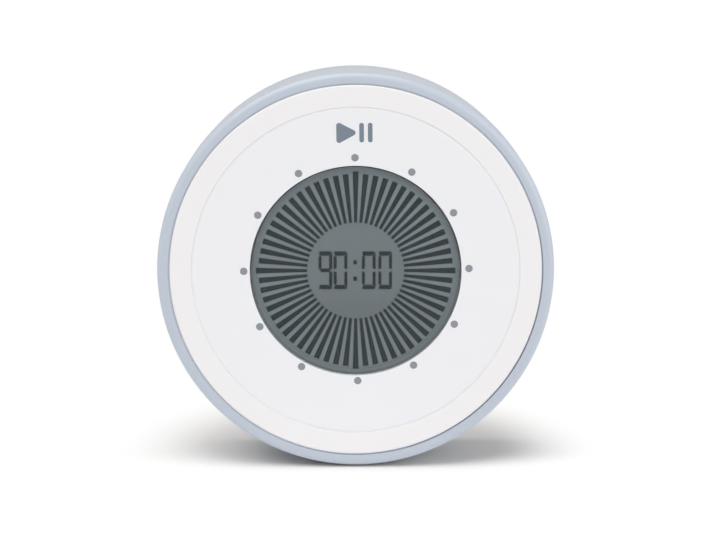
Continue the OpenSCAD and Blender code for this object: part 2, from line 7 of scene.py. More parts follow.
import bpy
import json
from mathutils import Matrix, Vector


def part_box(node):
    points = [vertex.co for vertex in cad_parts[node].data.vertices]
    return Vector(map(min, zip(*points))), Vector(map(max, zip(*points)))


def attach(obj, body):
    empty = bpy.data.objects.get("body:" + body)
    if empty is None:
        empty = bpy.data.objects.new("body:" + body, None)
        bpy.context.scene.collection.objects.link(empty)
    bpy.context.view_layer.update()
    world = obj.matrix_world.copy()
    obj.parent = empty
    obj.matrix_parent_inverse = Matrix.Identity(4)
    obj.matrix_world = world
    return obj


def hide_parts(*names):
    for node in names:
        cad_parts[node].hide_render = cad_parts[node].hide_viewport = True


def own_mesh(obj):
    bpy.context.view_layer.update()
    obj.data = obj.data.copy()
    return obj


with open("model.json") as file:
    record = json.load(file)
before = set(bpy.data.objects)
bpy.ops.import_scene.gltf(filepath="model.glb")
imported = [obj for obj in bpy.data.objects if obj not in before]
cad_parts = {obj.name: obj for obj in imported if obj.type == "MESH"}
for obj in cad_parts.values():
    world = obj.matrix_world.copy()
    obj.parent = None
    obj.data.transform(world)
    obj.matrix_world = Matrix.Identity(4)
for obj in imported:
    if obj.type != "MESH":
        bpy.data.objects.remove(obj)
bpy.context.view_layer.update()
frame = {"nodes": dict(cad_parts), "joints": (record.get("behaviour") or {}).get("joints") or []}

import functools
import json
import math

import bmesh
import bpy
import numpy as np
from mathutils import Vector

bl_info = {
    "name": "Visual timer",
    "version": (1, 0, 0),
    "blender": (4, 5, 0),
    "location": "3D View > Sidebar > Timer",
    "description": "Smooth surfaces, finishes and a studio for a round visual timer",
    "category": "Object",
}

MM = 0.001
FULL_TURN = 2 * math.pi
MERGE_DISTANCE = 0.0005 * MM
SHARP_ANGLE = math.radians(32)

# Columns of points round the turned pieces
TOOTH_COLUMNS = 12
FACE_COLUMNS = 288
LENS_COLUMNS = 192
DISC_COLUMNS = 72
SCREW_COLUMNS = 96
HOOK_COLUMNS = 14
PIN_COLUMNS = 32
FLOOR_COLUMNS = 96

# Places round the axis, with turns in degrees, and distances from it
LOW_RIGHT = math.radians(212)
HOOK_SWEEP = math.radians(12)
HOOK_TURNS = (0, 120, 240)
SPRING_TURNS = (45, 165, 285)
SCREW_TURNS = (30, 150, 232, 308)
SCREW_CIRCLE = 31.5 * MM
MAGNET_TURNS = (55, 125, 250, 290)
MAGNET_CIRCLE = 30 * MM

# Display: left ends of the digits, rows of the colon, and how its tone and gloss vary
DIGIT_STARTS = tuple(start * MM for start in (0.0, 3.05, 8.74, 12.05))
COLON_START = 7.38 * MM
COLON_ROWS = (0.28, 0.72)
DISPLAY_GLOSS = 0.1
# Painted light: how much paler the field is drawn behind the bars and at its rim, lifting the shade there
PAINTED_LIGHT_BARS = 0.34
PAINTED_LIGHT_RIM = 0.14
DARKER_BELOW = 0.13
FIELD_CLOUD = 0.06


def reach(node, axis):
    """Low and high end of a node's box along an axis, in metres."""
    low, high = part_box(node)
    return low[axis], high[axis]


def middle(node):
    """Middle of a node's box."""
    low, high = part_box(node)
    return (low + high) / 2


RING_FRONT, RING_BACK = reach("twist_ring", 1)
RING_RADIUS = reach("twist_ring", 0)[1]
AXIS_HEIGHT = middle("twist_ring").z
FACE_FRONT = reach("face_bezel", 1)[0]
FACE_RADIUS = reach("face_bezel", 0)[1]
LENS_RADIUS = reach("display_lens", 0)[1]
BACK_PLANE = reach("rear_base", 1)[1]


def paint(red, green, blue):
    """Linear colour of a paint-chip colour given in steps of 255."""
    chip = np.array([red, green, blue]) / 255
    linear = np.where(chip <= 0.04045, chip / 12.92, ((chip + 0.055) / 1.055) ** 2.4)
    return tuple(float(part) for part in linear)


# Shapes


def rounded_outline(corners, steps=7, ease=0.12 * MM):
    """Closed outline whose corners (across, along, rounding) become arcs, as an (n, 2) array.

    An arc's middle lies on the corner's bisector, rounding / sin(half angle) from the corner. A point
    stands a little before and after each arc, so that the flats between the arcs shade flat.
    """
    table = np.array(corners, float)
    tips = table[:, :2]
    rounding = table[:, 2:]
    after = np.roll(tips, -1, axis=0) - tips
    span = np.linalg.norm(after, axis=1, keepdims=True)
    after /= span
    before = -np.roll(after, 1, axis=0)
    half = np.arccos(np.clip((before * after).sum(axis=1, keepdims=True), -1, 1)) / 2
    setback = rounding / np.tan(half)
    bisector = before + after
    bisector /= np.linalg.norm(bisector, axis=1, keepdims=True)
    centre = tips + bisector * rounding / np.sin(half)
    first = tips + before * setback - centre
    last = tips + after * setback - centre
    sweep = math.pi - 2 * half
    share = np.linspace(0, 1, steps)
    arc = (np.sin((1 - share) * sweep)[:, :, None] * first[:, None]
           + np.sin(share * sweep)[:, :, None] * last[:, None]) / np.sin(sweep)[:, :, None]
    room = np.minimum(ease, 0.3 * (span - setback - np.roll(setback, -1, axis=0)))
    lead = tips + before * (setback + np.roll(room, 1, axis=0))
    tail = tips + after * (setback + room)
    rows = np.concatenate([lead[:, None], centre[:, None] + arc, tail[:, None]], axis=1)
    return rows.reshape(-1, 2)


def axes_about(along):
    """Two unit vectors square to a direction and to each other."""
    along = np.array(along, float)
    guide = np.array([0.0, 0.0, 1.0]) if abs(along[2]) < 0.9 else np.array([0.0, 1.0, 0.0])
    side = np.cross(along, guide)
    side /= np.linalg.norm(side)
    return side, np.cross(side, along)


def turned(outline, origin, along, columns, start=0.0, sweep=FULL_TURN):
    """Surface of revolution: origin + along * distance + radius * (cos a * side + sin a * up).

    outline is (rows, 2), or (rows, columns, 2) where the radius changes round the turn. Less than a
    whole turn is closed by a fan at each end.
    """
    whole = sweep >= FULL_TURN
    angle = start + np.linspace(0, sweep, columns, endpoint=not whole)
    side, up = axes_about(along)
    outline = np.asarray(outline, float)
    if outline.ndim == 2:
        outline = np.repeat(outline[:, None], columns, axis=1)
    spoke = np.cos(angle)[:, None] * side + np.sin(angle)[:, None] * up
    grid = np.array(origin, float) + outline[..., 1:] * np.array(along, float) + outline[..., :1] * spoke
    if whole:
        return grid, True, True
    heart = np.broadcast_to(grid.mean(axis=0), grid.shape)
    return np.concatenate([heart[:, :1], grid, heart[:, -1:]], axis=1), True, False


def turned_cap(outline, origin, along, columns):
    """Surface of revolution of an open outline whose first and last points lie on the axis."""
    grid, _, _ = turned(outline, origin, along, columns)
    return grid, False, True


def swept_tube(path, across, over, radius, columns=10):
    """Round wire: path + radius * (cos b * across + sin b * over), closed to a point at both ends."""
    turn = np.linspace(0, FULL_TURN, columns, endpoint=False)
    grid = (path[:, None] + radius * (np.cos(turn)[None, :, None] * across[:, None]
                                      + np.sin(turn)[None, :, None] * over[:, None]))
    heart = np.broadcast_to(path[:, None], grid.shape)
    return np.concatenate([heart[:1], grid, heart[-1:]]), False, True


def plate(outline, near, far):
    """Plate with a flat outline (x, z) from one depth to another, closed by fans from its middle."""
    heart = np.broadcast_to(outline.mean(axis=0), outline.shape)
    rows = [(heart, near), (outline, near), (outline, far), (heart, far)]
    return np.array([np.insert(flat, 1, depth, axis=1) for flat, depth in rows]), False, True


def coil(origin, along, length, base_radius, tip_radius, wire_radius, turns, steps=28, flat=0.75):
    """Wound spring: the wire's middle climbs from one flat end turn to the other.

    The height is an eased climb over the turns between the end turns, and the radius runs straight
    from the base to the tip.
    """
    share = np.linspace(0, 1, int(turns * steps))
    angle = share * turns * FULL_TURN
    climb = np.clip((share * turns - flat) / (turns - 2 * flat), 0, 1)
    height = wire_radius + climb * (length - 2 * wire_radius)
    radius = base_radius + (tip_radius - base_radius) * climb
    side, up = axes_about(along)
    along = np.array(along, float)
    spoke = np.cos(angle)[:, None] * side + np.sin(angle)[:, None] * up
    path = np.array(origin, float) + height[:, None] * along + radius[:, None] * spoke
    return swept_tube(path, spoke, np.repeat(along[None], len(path), 0), wire_radius)


def smooth_step(value, low, high):
    """Eased rise from 0 at low to 1 at high."""
    share = np.clip((value - low) / (high - low), 0, 1)
    return share * share * (3 - 2 * share)


def grid_faces(rows, columns, wrap_rows, wrap_columns):
    """Quads of a grid of points, with the last row or column joined to the first where it wraps."""
    row = np.arange(rows if wrap_rows else rows - 1)[:, None]
    column = np.arange(columns if wrap_columns else columns - 1)[None]
    next_row = (row + 1) % rows
    next_column = (column + 1) % columns
    corners = [row * columns + column, row * columns + next_column,
               next_row * columns + next_column, next_row * columns + column]
    return np.stack(np.broadcast_arrays(*corners), axis=-1).reshape(-1, 4)


def outward(points, faces):
    """Faces turned so that the closed surface's signed volume is positive."""
    a, b, c, d = (points[faces[:, corner]] for corner in range(4))
    volume = np.einsum("ij,ij->", a, np.cross(b, c)) + np.einsum("ij,ij->", a, np.cross(c, d))
    return faces if volume > 0 else faces[:, ::-1]


def surface_mesh(name, grids):
    """Mesh of one or more closed grids, with seams and poles merged and faces outward."""
    points = []
    faces = []
    count = 0
    for grid, wrap_rows, wrap_columns in grids:
        flat = grid.reshape(-1, 3)
        quads = grid_faces(grid.shape[0], grid.shape[1], wrap_rows, wrap_columns)
        faces.append(outward(flat - flat.mean(axis=0), quads) + count)
        points.append(flat)
        count += len(flat)
    mesh = bpy.data.meshes.new(name)
    mesh.from_pydata(np.concatenate(points).tolist(), [], np.concatenate(faces).tolist())
    tidy_mesh(mesh)
    return mesh


def tidy_mesh(mesh):
    """Merges points that lie together and shades the mesh smooth between its sharp edges."""
    work = bmesh.new()
    work.from_mesh(mesh)
    bmesh.ops.remove_doubles(work, verts=work.verts, dist=MERGE_DISTANCE)
    bmesh.ops.dissolve_degenerate(work, edges=work.edges, dist=MERGE_DISTANCE)
    work.to_mesh(mesh)
    work.free()
    mesh.shade_smooth()
    mesh.set_sharp_from_angle(angle=SHARP_ANGLE)
    mesh.update()


def add_piece(name, grids, finish, body, node):
    """Puts the surface of some grids into the scene as a piece of a body, in place of a node."""
    mesh = surface_mesh(name, grids)
    mesh.materials.append(finish)
    piece = bpy.data.objects.new(name, mesh)
    bpy.context.scene.collection.objects.link(piece)
    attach(piece, body)
    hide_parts(node)
    return piece


def dress(finish, *nodes):
    """Gives nodes that stay as they are their finish."""
    for node in nodes:
        mesh = frame["nodes"][node].data
        mesh.materials.clear()
        mesh.materials.append(finish)


# Finishes


class Wire:
    """A node's output; arithmetic on it with numbers or other wires adds Math nodes."""

    def __init__(self, tree, socket):
        self.tree = tree
        self.socket = socket

    def math(self, operation, *values):
        """Math node of this wire's tree over the given values."""
        node = self.tree.nodes.new("ShaderNodeMath")
        node.operation = operation
        for socket, value in zip(node.inputs, values):
            if isinstance(value, Wire):
                self.tree.links.new(value.socket, socket)
            else:
                socket.default_value = value
        return Wire(self.tree, node.outputs[0])

    def __add__(self, other):
        return self.math("ADD", self, other)

    def __radd__(self, other):
        return self.math("ADD", other, self)

    def __sub__(self, other):
        return self.math("SUBTRACT", self, other)

    def __rsub__(self, other):
        return self.math("SUBTRACT", other, self)

    def __mul__(self, other):
        return self.math("MULTIPLY", self, other)

    def __rmul__(self, other):
        return self.math("MULTIPLY", other, self)

    def __truediv__(self, other):
        return self.math("DIVIDE", self, other)

    def __rtruediv__(self, other):
        return self.math("DIVIDE", other, self)

    def __pow__(self, other):
        return self.math("POWER", self, other)

    def __abs__(self):
        return self.math("ABSOLUTE", self)

    def above(self, other):
        """1 where this wire is greater, 0 elsewhere."""
        return self.math("GREATER_THAN", self, other)

    def most(self, other):
        """The greater of two values."""
        return self.math("MAXIMUM", self, other)

    def swing(self, reach):
        """A noise between 0 and 1 turned into a change of up to half of reach either way."""
        return (self - 0.5) * reach

    def wave(self, pitch):
        """Sine that comes round once in every pitch."""
        return self.math("SINE", self * (FULL_TURN / pitch))


def rays(tree, *kinds):
    """1 for rays of any of the named kinds, 0 for others."""
    path = tree.nodes.new("ShaderNodeLightPath")
    return functools.reduce(Wire.most, [Wire(tree, path.outputs[f"Is {kind} Ray"]) for kind in kinds])


class Finish:
    """A material whose nodes are added one by one, round one Principled shader."""

    def __init__(self, name):
        self.material = bpy.data.materials.new(name)
        self.material.use_nodes = True
        self.tree = self.material.node_tree
        self.tree.nodes.clear()
        self.output = self.tree.nodes.new("ShaderNodeOutputMaterial")
        self.shader = self.tree.nodes.new("ShaderNodeBsdfPrincipled")
        self.show(Wire(self.tree, self.shader.outputs[0]))

    def show(self, shader):
        """Makes a shader the one that the surface shows."""
        self.tree.links.new(shader.socket, self.output.inputs["Surface"])

    def feed(self, node, inputs):
        """Sets a node's inputs, by name or place, to numbers, colours or wires."""
        for name, value in inputs.items():
            if isinstance(value, Wire):
                self.tree.links.new(value.socket, node.inputs[name])
            elif hasattr(value, "__len__") and len(value) == 3 and node.inputs[name].type == "RGBA":
                node.inputs[name].default_value = (*value, 1)
            else:
                node.inputs[name].default_value = value

    def node(self, kind, settings=None, inputs=None, output=0):
        """Adds a node of a type, with its settings first and then its inputs, and gives an output."""
        node = self.tree.nodes.new("ShaderNode" + kind)
        for name, value in (settings or {}).items():
            setattr(node, name, value)
        self.feed(node, inputs or {})
        return Wire(self.tree, node.outputs[output])

    def surface(self, **inputs):
        """Sets inputs of the Principled shader, with _ for a space in their names; gives the material."""
        self.feed(self.shader, {name.replace("_", " "): value for name, value in inputs.items()})
        return self.material

    def cover(self, other, share):
        """Shows another shader over the Principled one, all of it where share is 1; gives the material."""
        own = Wire(self.tree, self.shader.outputs[0])
        self.show(self.node("MixShader", None, {0: share, 1: own, 2: other}))
        return self.material

    def place(self):
        """Position in the object's own frame, in metres."""
        return self.node("TexCoord", output="Object")

    def parts(self):
        """The x, y and z of the position."""
        split = self.node("SeparateXYZ", None, {"Vector": self.place()}).socket.node
        return [Wire(self.tree, socket) for socket in split.outputs]

    def axis_radius(self):
        """Distance from the timer's level axis."""
        x, _, z = self.parts()
        rise = z - AXIS_HEIGHT
        return (x * x + rise * rise) ** 0.5

    def noise(self, size, detail=2.0, roughness=0.5, stretch=None):
        """Noise whose grains are about size metres across, drawn out along an axis by stretch."""
        vector = self.place()
        if stretch is not None:
            vector = self.node("Mapping", None, {"Vector": vector, "Scale": stretch})
        return self.node("TexNoise", None, {"Vector": vector, "Scale": 1 / size, "Detail": detail,
                                            "Roughness": roughness})

    def rise(self, value, low, high):
        """Eased rise of a value from 0 at low to 1 at high; low may be the greater."""
        return self.node("MapRange", {"interpolation_type": "SMOOTHSTEP"},
                         {"Value": value, "From Min": low, "From Max": high})

    def blend(self, share, first, second):
        """Colour mix: first where share is 0, second where it is 1.

        A Mix node's factor for numbers is its input 0, its two colours are inputs 6 and 7, and their
        mix is output 2.
        """
        return self.node("Mix", {"data_type": "RGBA"}, {0: share, 6: first, 7: second}, output=2)

    def mottle(self, pattern, tone, spread):
        """A colour that a pattern makes darker or lighter by up to spread."""
        return self.blend(pattern, tinted(tone, -spread), tinted(tone, spread))

    def bump(self, height, depth, strength=1.0):
        """Normal of a relief whose height runs from 0 to 1 over a depth in metres."""
        return self.node("Bump", None, {"Height": height, "Distance": depth, "Strength": strength},
                         output="Normal")


def tinted(colour, share):
    """A colour made lighter for a positive share and darker for a negative one."""
    return tuple(min(1.0, part * (1 + share)) for part in colour)


def moulded(name, colour, rough, grain=0.14 * MM, depth=0.006 * MM, spread=0.03, gloss=0.06):
    """Moulded plastic: faint clouding of the colour, a fine skin and a sheen that varies a little."""
    finish = Finish(name)
    cloud = finish.noise(9 * MM, 3.0)
    skin = finish.noise(grain, 2.0)
    return finish.surface(Base_Color=finish.mottle(cloud, colour, spread),
                          Roughness=rough + cloud.swing(gloss) + skin.swing(gloss),
                          Normal=finish.bump(skin, depth))


def metal(name, colour, rough, tarnish=0.1, stretch=(1.0, 1.0, 1.0)):
    """Plated steel: fine drawn lines, a little tarnish and a bright or dull sheen."""
    finish = Finish(name)
    lines = finish.noise(0.12 * MM, 2.0, 0.6, stretch)
    stain = finish.noise(2.2 * MM, 3.0)
    stained = finish.rise(stain, 0.45, 0.8)
    return finish.surface(Base_Color=finish.blend(stained, colour, tinted(colour, -tarnish)),
                          Roughness=rough + lines.swing(0.16) + stain.swing(0.1),
                          Metallic=1.0,
                          Normal=finish.bump(lines, 0.003 * MM))


# Settings


def length(label, text, millimetres):
    """A length that a user may change."""
    return bpy.props.FloatProperty(name=label, description=text, default=millimetres * MM, min=0,
                                   precision=5, unit="LENGTH", subtype="DISTANCE")


def colour(label, text, default):
    """A colour that a user may change."""
    return bpy.props.FloatVectorProperty(name=label, description=text, default=default, size=3,
                                         min=0, max=1, subtype="COLOR")


def angle(label, text, degrees):
    """An angle that a user may change."""
    return bpy.props.FloatProperty(name=label, description=text, default=math.radians(degrees),
                                   subtype="ANGLE")


def strength(label, text, default):
    """The strength of a light."""
    return bpy.props.FloatProperty(name=label, description=text, default=default, min=0)


class TimerSizes(bpy.types.PropertyGroup):
    """Sizes of the redrawn surfaces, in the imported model's own frame"""

    ring_round: length("Ring rounding", "Rounding of the ring's front outer edge", 1.3)
    ring_edge: length("Ring edge", "Rounding of the ring's back outer edge", 0.3)
    lip_edge: length("Lip edge", "Rounding of the ring's front inner edge", 0.12)
    dust_lip: length("Dust lip", "Depth of the thin lip that closes the gap round the face", 0.24)
    lip_sag: length("Lip sag", "How much deeper that lip lies at its low right side", 0.5)
    ring_shoulder: length("Ring shoulder", "Step inside the ring behind its lip", 1.15)
    ring_seat: length("Ring seat", "Distance from the back plane to the ring's shoulder", 25.2)
    face_gap: length("Face gap", "Gap between the face and the ring's lip", 0.25)
    tooth_depth: length("Tooth depth", "Depth of the teeth inside the ring", 1.1)
    tooth_band: length("Tooth band", "Width of the toothed band inside the ring", 2.6)
    tooth_count: bpy.props.IntProperty(name="Teeth", description="Number of teeth inside the ring",
                                       default=90, min=3)
    digit_width: length("Digit width", "Width of a digit of the display", 2.74)
    digit_taller: length("Digit taller", "How much taller than its solid a digit is drawn", 0.05)
    digit_lift: length("Digit lift", "How much higher than its solid a digit is drawn", 0.03)
    digit_bar: length("Digit bar", "Height of a digit's upper and lower segments", 0.85)
    digit_middle: length("Digit middle", "Height of a digit's middle segment", 0.74)
    digit_post: length("Digit post", "Width of a digit's upright segments", 0.6)
    digit_slit: length("Digit slit", "Half of the slit where segments meet", 0.06)
    digit_waist: length("Digit waist", "Half of the gap between upper and lower posts", 0.21)
    colon_width: length("Colon width", "Width of the colon's dots", 0.72)
    colon_height: length("Colon height", "Height of the colon's dots", 0.88)
    face_round: length("Face rounding", "Rounding of the face's outer edge", 0.4)
    bezel_width: length("Bezel width", "Radial width of the fixed rim of the face", 4.45)
    groove: length("Groove", "Width of the line between the fixed rim and the pressed disc", 0.3)
    groove_depth: length("Groove depth", "Depth of that line, down to the disc's thin lip", 0.09)
    lip_fit: length("Lip fit", "Gap between the disc's lip and the fixed rim", 0.015)
    disc_thickness: length("Disc thickness", "Thickness of the pressed disc", 2)
    print_proud: length("Print height", "Height of the print above the disc", 0.03)
    lens_round: length("Lens rounding", "Rounding of the lens's edge", 0.12)
    lens_fit: length("Lens fit", "Gap between the lens and its window", 0.3)
    spring_wire: length("Spring wire", "Diameter of the battery springs' wire", 0.6)
    magnet_edge: length("Magnet edge", "Rounding of the magnets' edges", 0.35)
    tread_depth: length("Tread depth", "Depth of the grooves under the foot", 0.25)
    tread_pitch: length("Tread pitch", "Distance between the grooves under the foot", 2.1)


class TimerColours(bpy.types.PropertyGroup):
    """Colours of the finishes"""

    ring: colour("Ring", "Grey-blue plastic of the twist ring", paint(189, 197, 209))
    # The whole outer side of the ring, drawn greyer and less blue than its front all round.
    grip: colour("Grip", "The ring's outer side, greyer where it is held", paint(191, 196, 204))
    shell: colour("Shell", "Grey-blue plastic of the rear shell", paint(185, 190, 199))
    bezel: colour("Bezel", "White plastic of the fixed rim", paint(239, 237, 238))
    disc: colour("Disc", "White plastic of the pressed disc", paint(237, 237, 240))
    dots: colour("Dots", "Ink of the minute dots", paint(138, 143, 150))
    mark: colour("Mark", "Ink of the start and pause mark", paint(117, 128, 141))
    field: colour("Display field", "Grey-green of the display", paint(109, 118, 121))
    segments: colour("Segments", "Lit bars and digits of the display", paint(40, 49, 52))
    # Painted shade: tone of the dark edge drawn round the display
    rim: colour("Display rim", "Dark border of the display", paint(100, 107, 110))
    inner: colour("Inner plastic", "Plastic of the frames inside", paint(214, 216, 218))
    dark: colour("Dark plastic", "Black plastic of switches and chips", paint(46, 47, 50))
    knob: colour("Knob", "Plastic of the volume knob", paint(118, 126, 138))
    rubber: colour("Rubber", "Rubber of the foot and connectors", paint(66, 68, 72))
    board: colour("Board", "Solder mask of the circuit board", paint(30, 92, 62))
    steel: colour("Steel", "Plated steel", paint(196, 198, 202))
    wrap: colour("Cell wrap", "Wrap of the cells", paint(74, 94, 110))
    band: colour("Cell band", "Band at the cells' positive end", paint(202, 205, 207))
    lead_red: colour("Red lead", "Positive lead", paint(178, 40, 34))
    lead_black: colour("Black lead", "Negative lead", paint(40, 40, 42))


class TimerStudio(bpy.types.PropertyGroup):
    """Camera, light and floor"""

    azimuth: angle("Azimuth", "Camera's turn round the timer", -0.15)
    elevation: angle("Elevation", "Camera's angle above the level", 8.5)
    distance: length("Distance", "From the camera to the middle of the face", 504)
    focal: bpy.props.FloatProperty(name="Focal length", description="Lens of the camera",
                                   default=126.05, min=1, unit="CAMERA")
    aim_right: length("Aim right", "How far right of the face's middle the camera aims", 0.47)
    aim_up: length("Aim up", "How far above the face's middle the camera aims", 0.28)
    key_power: strength("Key light", "Strength of the wide light from above", 1.71)
    key_spread: angle("Key spread", "Angle that the key light fills", 60)
    key_elevation: angle("Key elevation", "Angle of the key above the level", 66)
    key_azimuth: angle("Key azimuth", "Turn of the key round the timer", -45)
    front_power: strength("Front light", "Strength of the soft light from the front", 0.69)
    front_spread: angle("Front spread", "Angle that the front light fills", 50)
    front_elevation: angle("Front elevation", "Angle of the front light above the level", 10)
    front_azimuth: angle("Front azimuth", "Turn of the front light round the timer", 30)
    side_power: strength("Side light", "Strength of the soft light from the right", 0.46)
    side_spread: angle("Side spread", "Angle that the side light fills", 40)
    side_elevation: angle("Side elevation", "Angle of the side light above the level", 12)
    side_azimuth: angle("Side azimuth", "Turn of the side light round the timer", 80)
    fill_power: strength("Fill light", "Strength of the light all round", 0.4)
    floor: colour("Floor", "Pale floor", (0.96, 0.96, 0.96))
    # Painted shade: a darker, warmer floor tone that only the camera and gloss see, deepening the shadow
    painted_shade_tone: colour("Shade tone", "Floor as it is seen in the shadow", (0.909, 0.889, 0.864))
    floor_radius: length("Floor radius", "How far the floor reaches", 9000)
    shade_line: length("Shade line", "How far behind the timer's middle the shadow is widest", 2.2)
    shade_width: length("Shade width", "Half width of the floor that takes the shadow", 51.4)
    shade_front: length("Shade front", "How far that floor reaches in front of the widest line", 22.7)
    shade_back: length("Shade back", "How far that floor reaches behind the widest line", 71.5)
    shade_core: bpy.props.FloatProperty(name="Shade core", default=0.55, min=0, max=0.99,
                                        description="Share of that floor that takes the whole shadow")


# Pieces

BACK_CENTRE = (0.0, BACK_PLANE, AXIS_HEIGHT)
FRONTWARD = (0.0, -1.0, 0.0)
DONE = {"FINISHED"}


def from_back(y):
    """Distance of a plane in front of the back plane."""
    return BACK_PLANE - y


def on_back(degrees, radius):
    """Point of the back plane at an angle from the right and a distance from the axis."""
    angle = math.radians(degrees)
    return (radius * math.cos(angle), BACK_PLANE, AXIS_HEIGHT + radius * math.sin(angle))


class TIMER_OT_twist_ring(bpy.types.Operator):
    """Draws the twist ring: rounded lip, soft edges and the teeth inside its back edge"""

    bl_idname = "timer.twist_ring"
    bl_label = "Twist ring"

    def execute(self, context):
        """Turned outline whose radius grows by the tooth depth in every notch of the toothed band.

        A notch is 1 in its middle, 0 on the teeth and runs straight along the flanks. The thin lip lies
        deeper by the sag times the square of the cosine of the angle from the low right.
        """
        sizes = context.scene.timer_sizes
        front = from_back(RING_FRONT)
        back = from_back(RING_BACK)
        lip = FACE_RADIUS + sizes.face_gap
        bore = lip - sizes.ring_shoulder
        band = back + sizes.tooth_band
        tiny = 0.06 * MM
        fine = 0.03 * MM
        step = 0.02 * MM
        thickness = 0.4 * MM
        closed = FACE_RADIUS + step
        lip_front = front - sizes.dust_lip
        lip_back = lip_front - thickness
        corners = [
            (closed, lip_back, fine), (closed, lip_front, fine), (lip, lip_front, fine),
            (lip, front, sizes.lip_edge), (RING_RADIUS, front, sizes.ring_round),
            (RING_RADIUS, back, sizes.ring_edge), (bore, back, tiny),
            (bore, sizes.ring_seat, tiny), (lip, sizes.ring_seat, tiny), (lip, lip_back, fine)]
        outline = rounded_outline(corners)
        corners_before_bore = 7
        after_back = len(outline) * corners_before_bore // len(corners)
        outline = np.insert(outline, after_back, [(bore, band), (bore, band + step)], axis=0)
        radius, height = outline.T
        columns = TOOTH_COLUMNS * sizes.tooth_count
        angle = np.linspace(0, FULL_TURN, columns, endpoint=False)
        phase = (angle * sizes.tooth_count / FULL_TURN) % 1
        half_notch = 0.31
        flank = 0.06
        notch = np.clip((half_notch - np.abs(phase - 0.5)) / flank + 0.5, 0, 1)
        grid = np.repeat(outline[:, None], columns, axis=1)
        toothed = (radius < bore + sizes.tooth_depth / 2) & (height <= band)
        grid[toothed, :, 0] += sizes.tooth_depth * notch
        thin = (radius < lip + fine) & (height > lip_back - fine) & (height < lip_front + fine)
        grid[thin, :, 1] -= sizes.lip_sag * np.clip(np.cos(angle - LOW_RIGHT), 0, 1) ** 2
        add_piece("timer_twist_ring", [turned(grid, BACK_CENTRE, FRONTWARD, columns)], self.finish(context),
                  "ring", "twist_ring")
        return DONE

    def finish(self, context):
        """Satin grey-blue plastic, a little smoother where fingers turn it; a band round its front rounding
        is drawn paler, a painted highlight over that wear.
        """
        tones = context.scene.timer_colours
        finish = Finish("satin_ring_plastic")
        cloud = finish.noise(11 * MM, 3.0)
        skin = finish.noise(0.16 * MM, 2.0)
        radius = finish.axis_radius()
        highlight_width = 0.6 * MM
        edge = RING_RADIUS - highlight_width
        highlight_starts = finish.rise(radius, edge - highlight_width, edge)
        ends = finish.rise(radius, edge + highlight_width / 2, RING_RADIUS)
        patches = finish.rise(finish.noise(4 * MM, 3.0), 0.35, 0.75)
        # Patchy wear on the band round the front rounding, which is also drawn paler there as a painted
        # highlight.
        rubbed = highlight_starts * (1 - ends) * (0.7 + 0.3 * patches)
        # The whole outer side of the ring is drawn greyer and rougher than its front.
        grip = finish.rise(radius, RING_RADIUS - 0.2 * MM, RING_RADIUS - 0.02 * MM)
        body = finish.blend(rubbed, finish.mottle(cloud, tones.ring, 0.02), tinted(tones.ring, 0.07))
        uneven = skin.swing(0.08) + cloud.swing(0.05) - rubbed * 0.05
        return finish.surface(Base_Color=finish.blend(grip, body, tones.grip),
                              Roughness=0.32 + grip * 0.3 + uneven,
                              Normal=finish.bump(skin, 0.006 * MM))


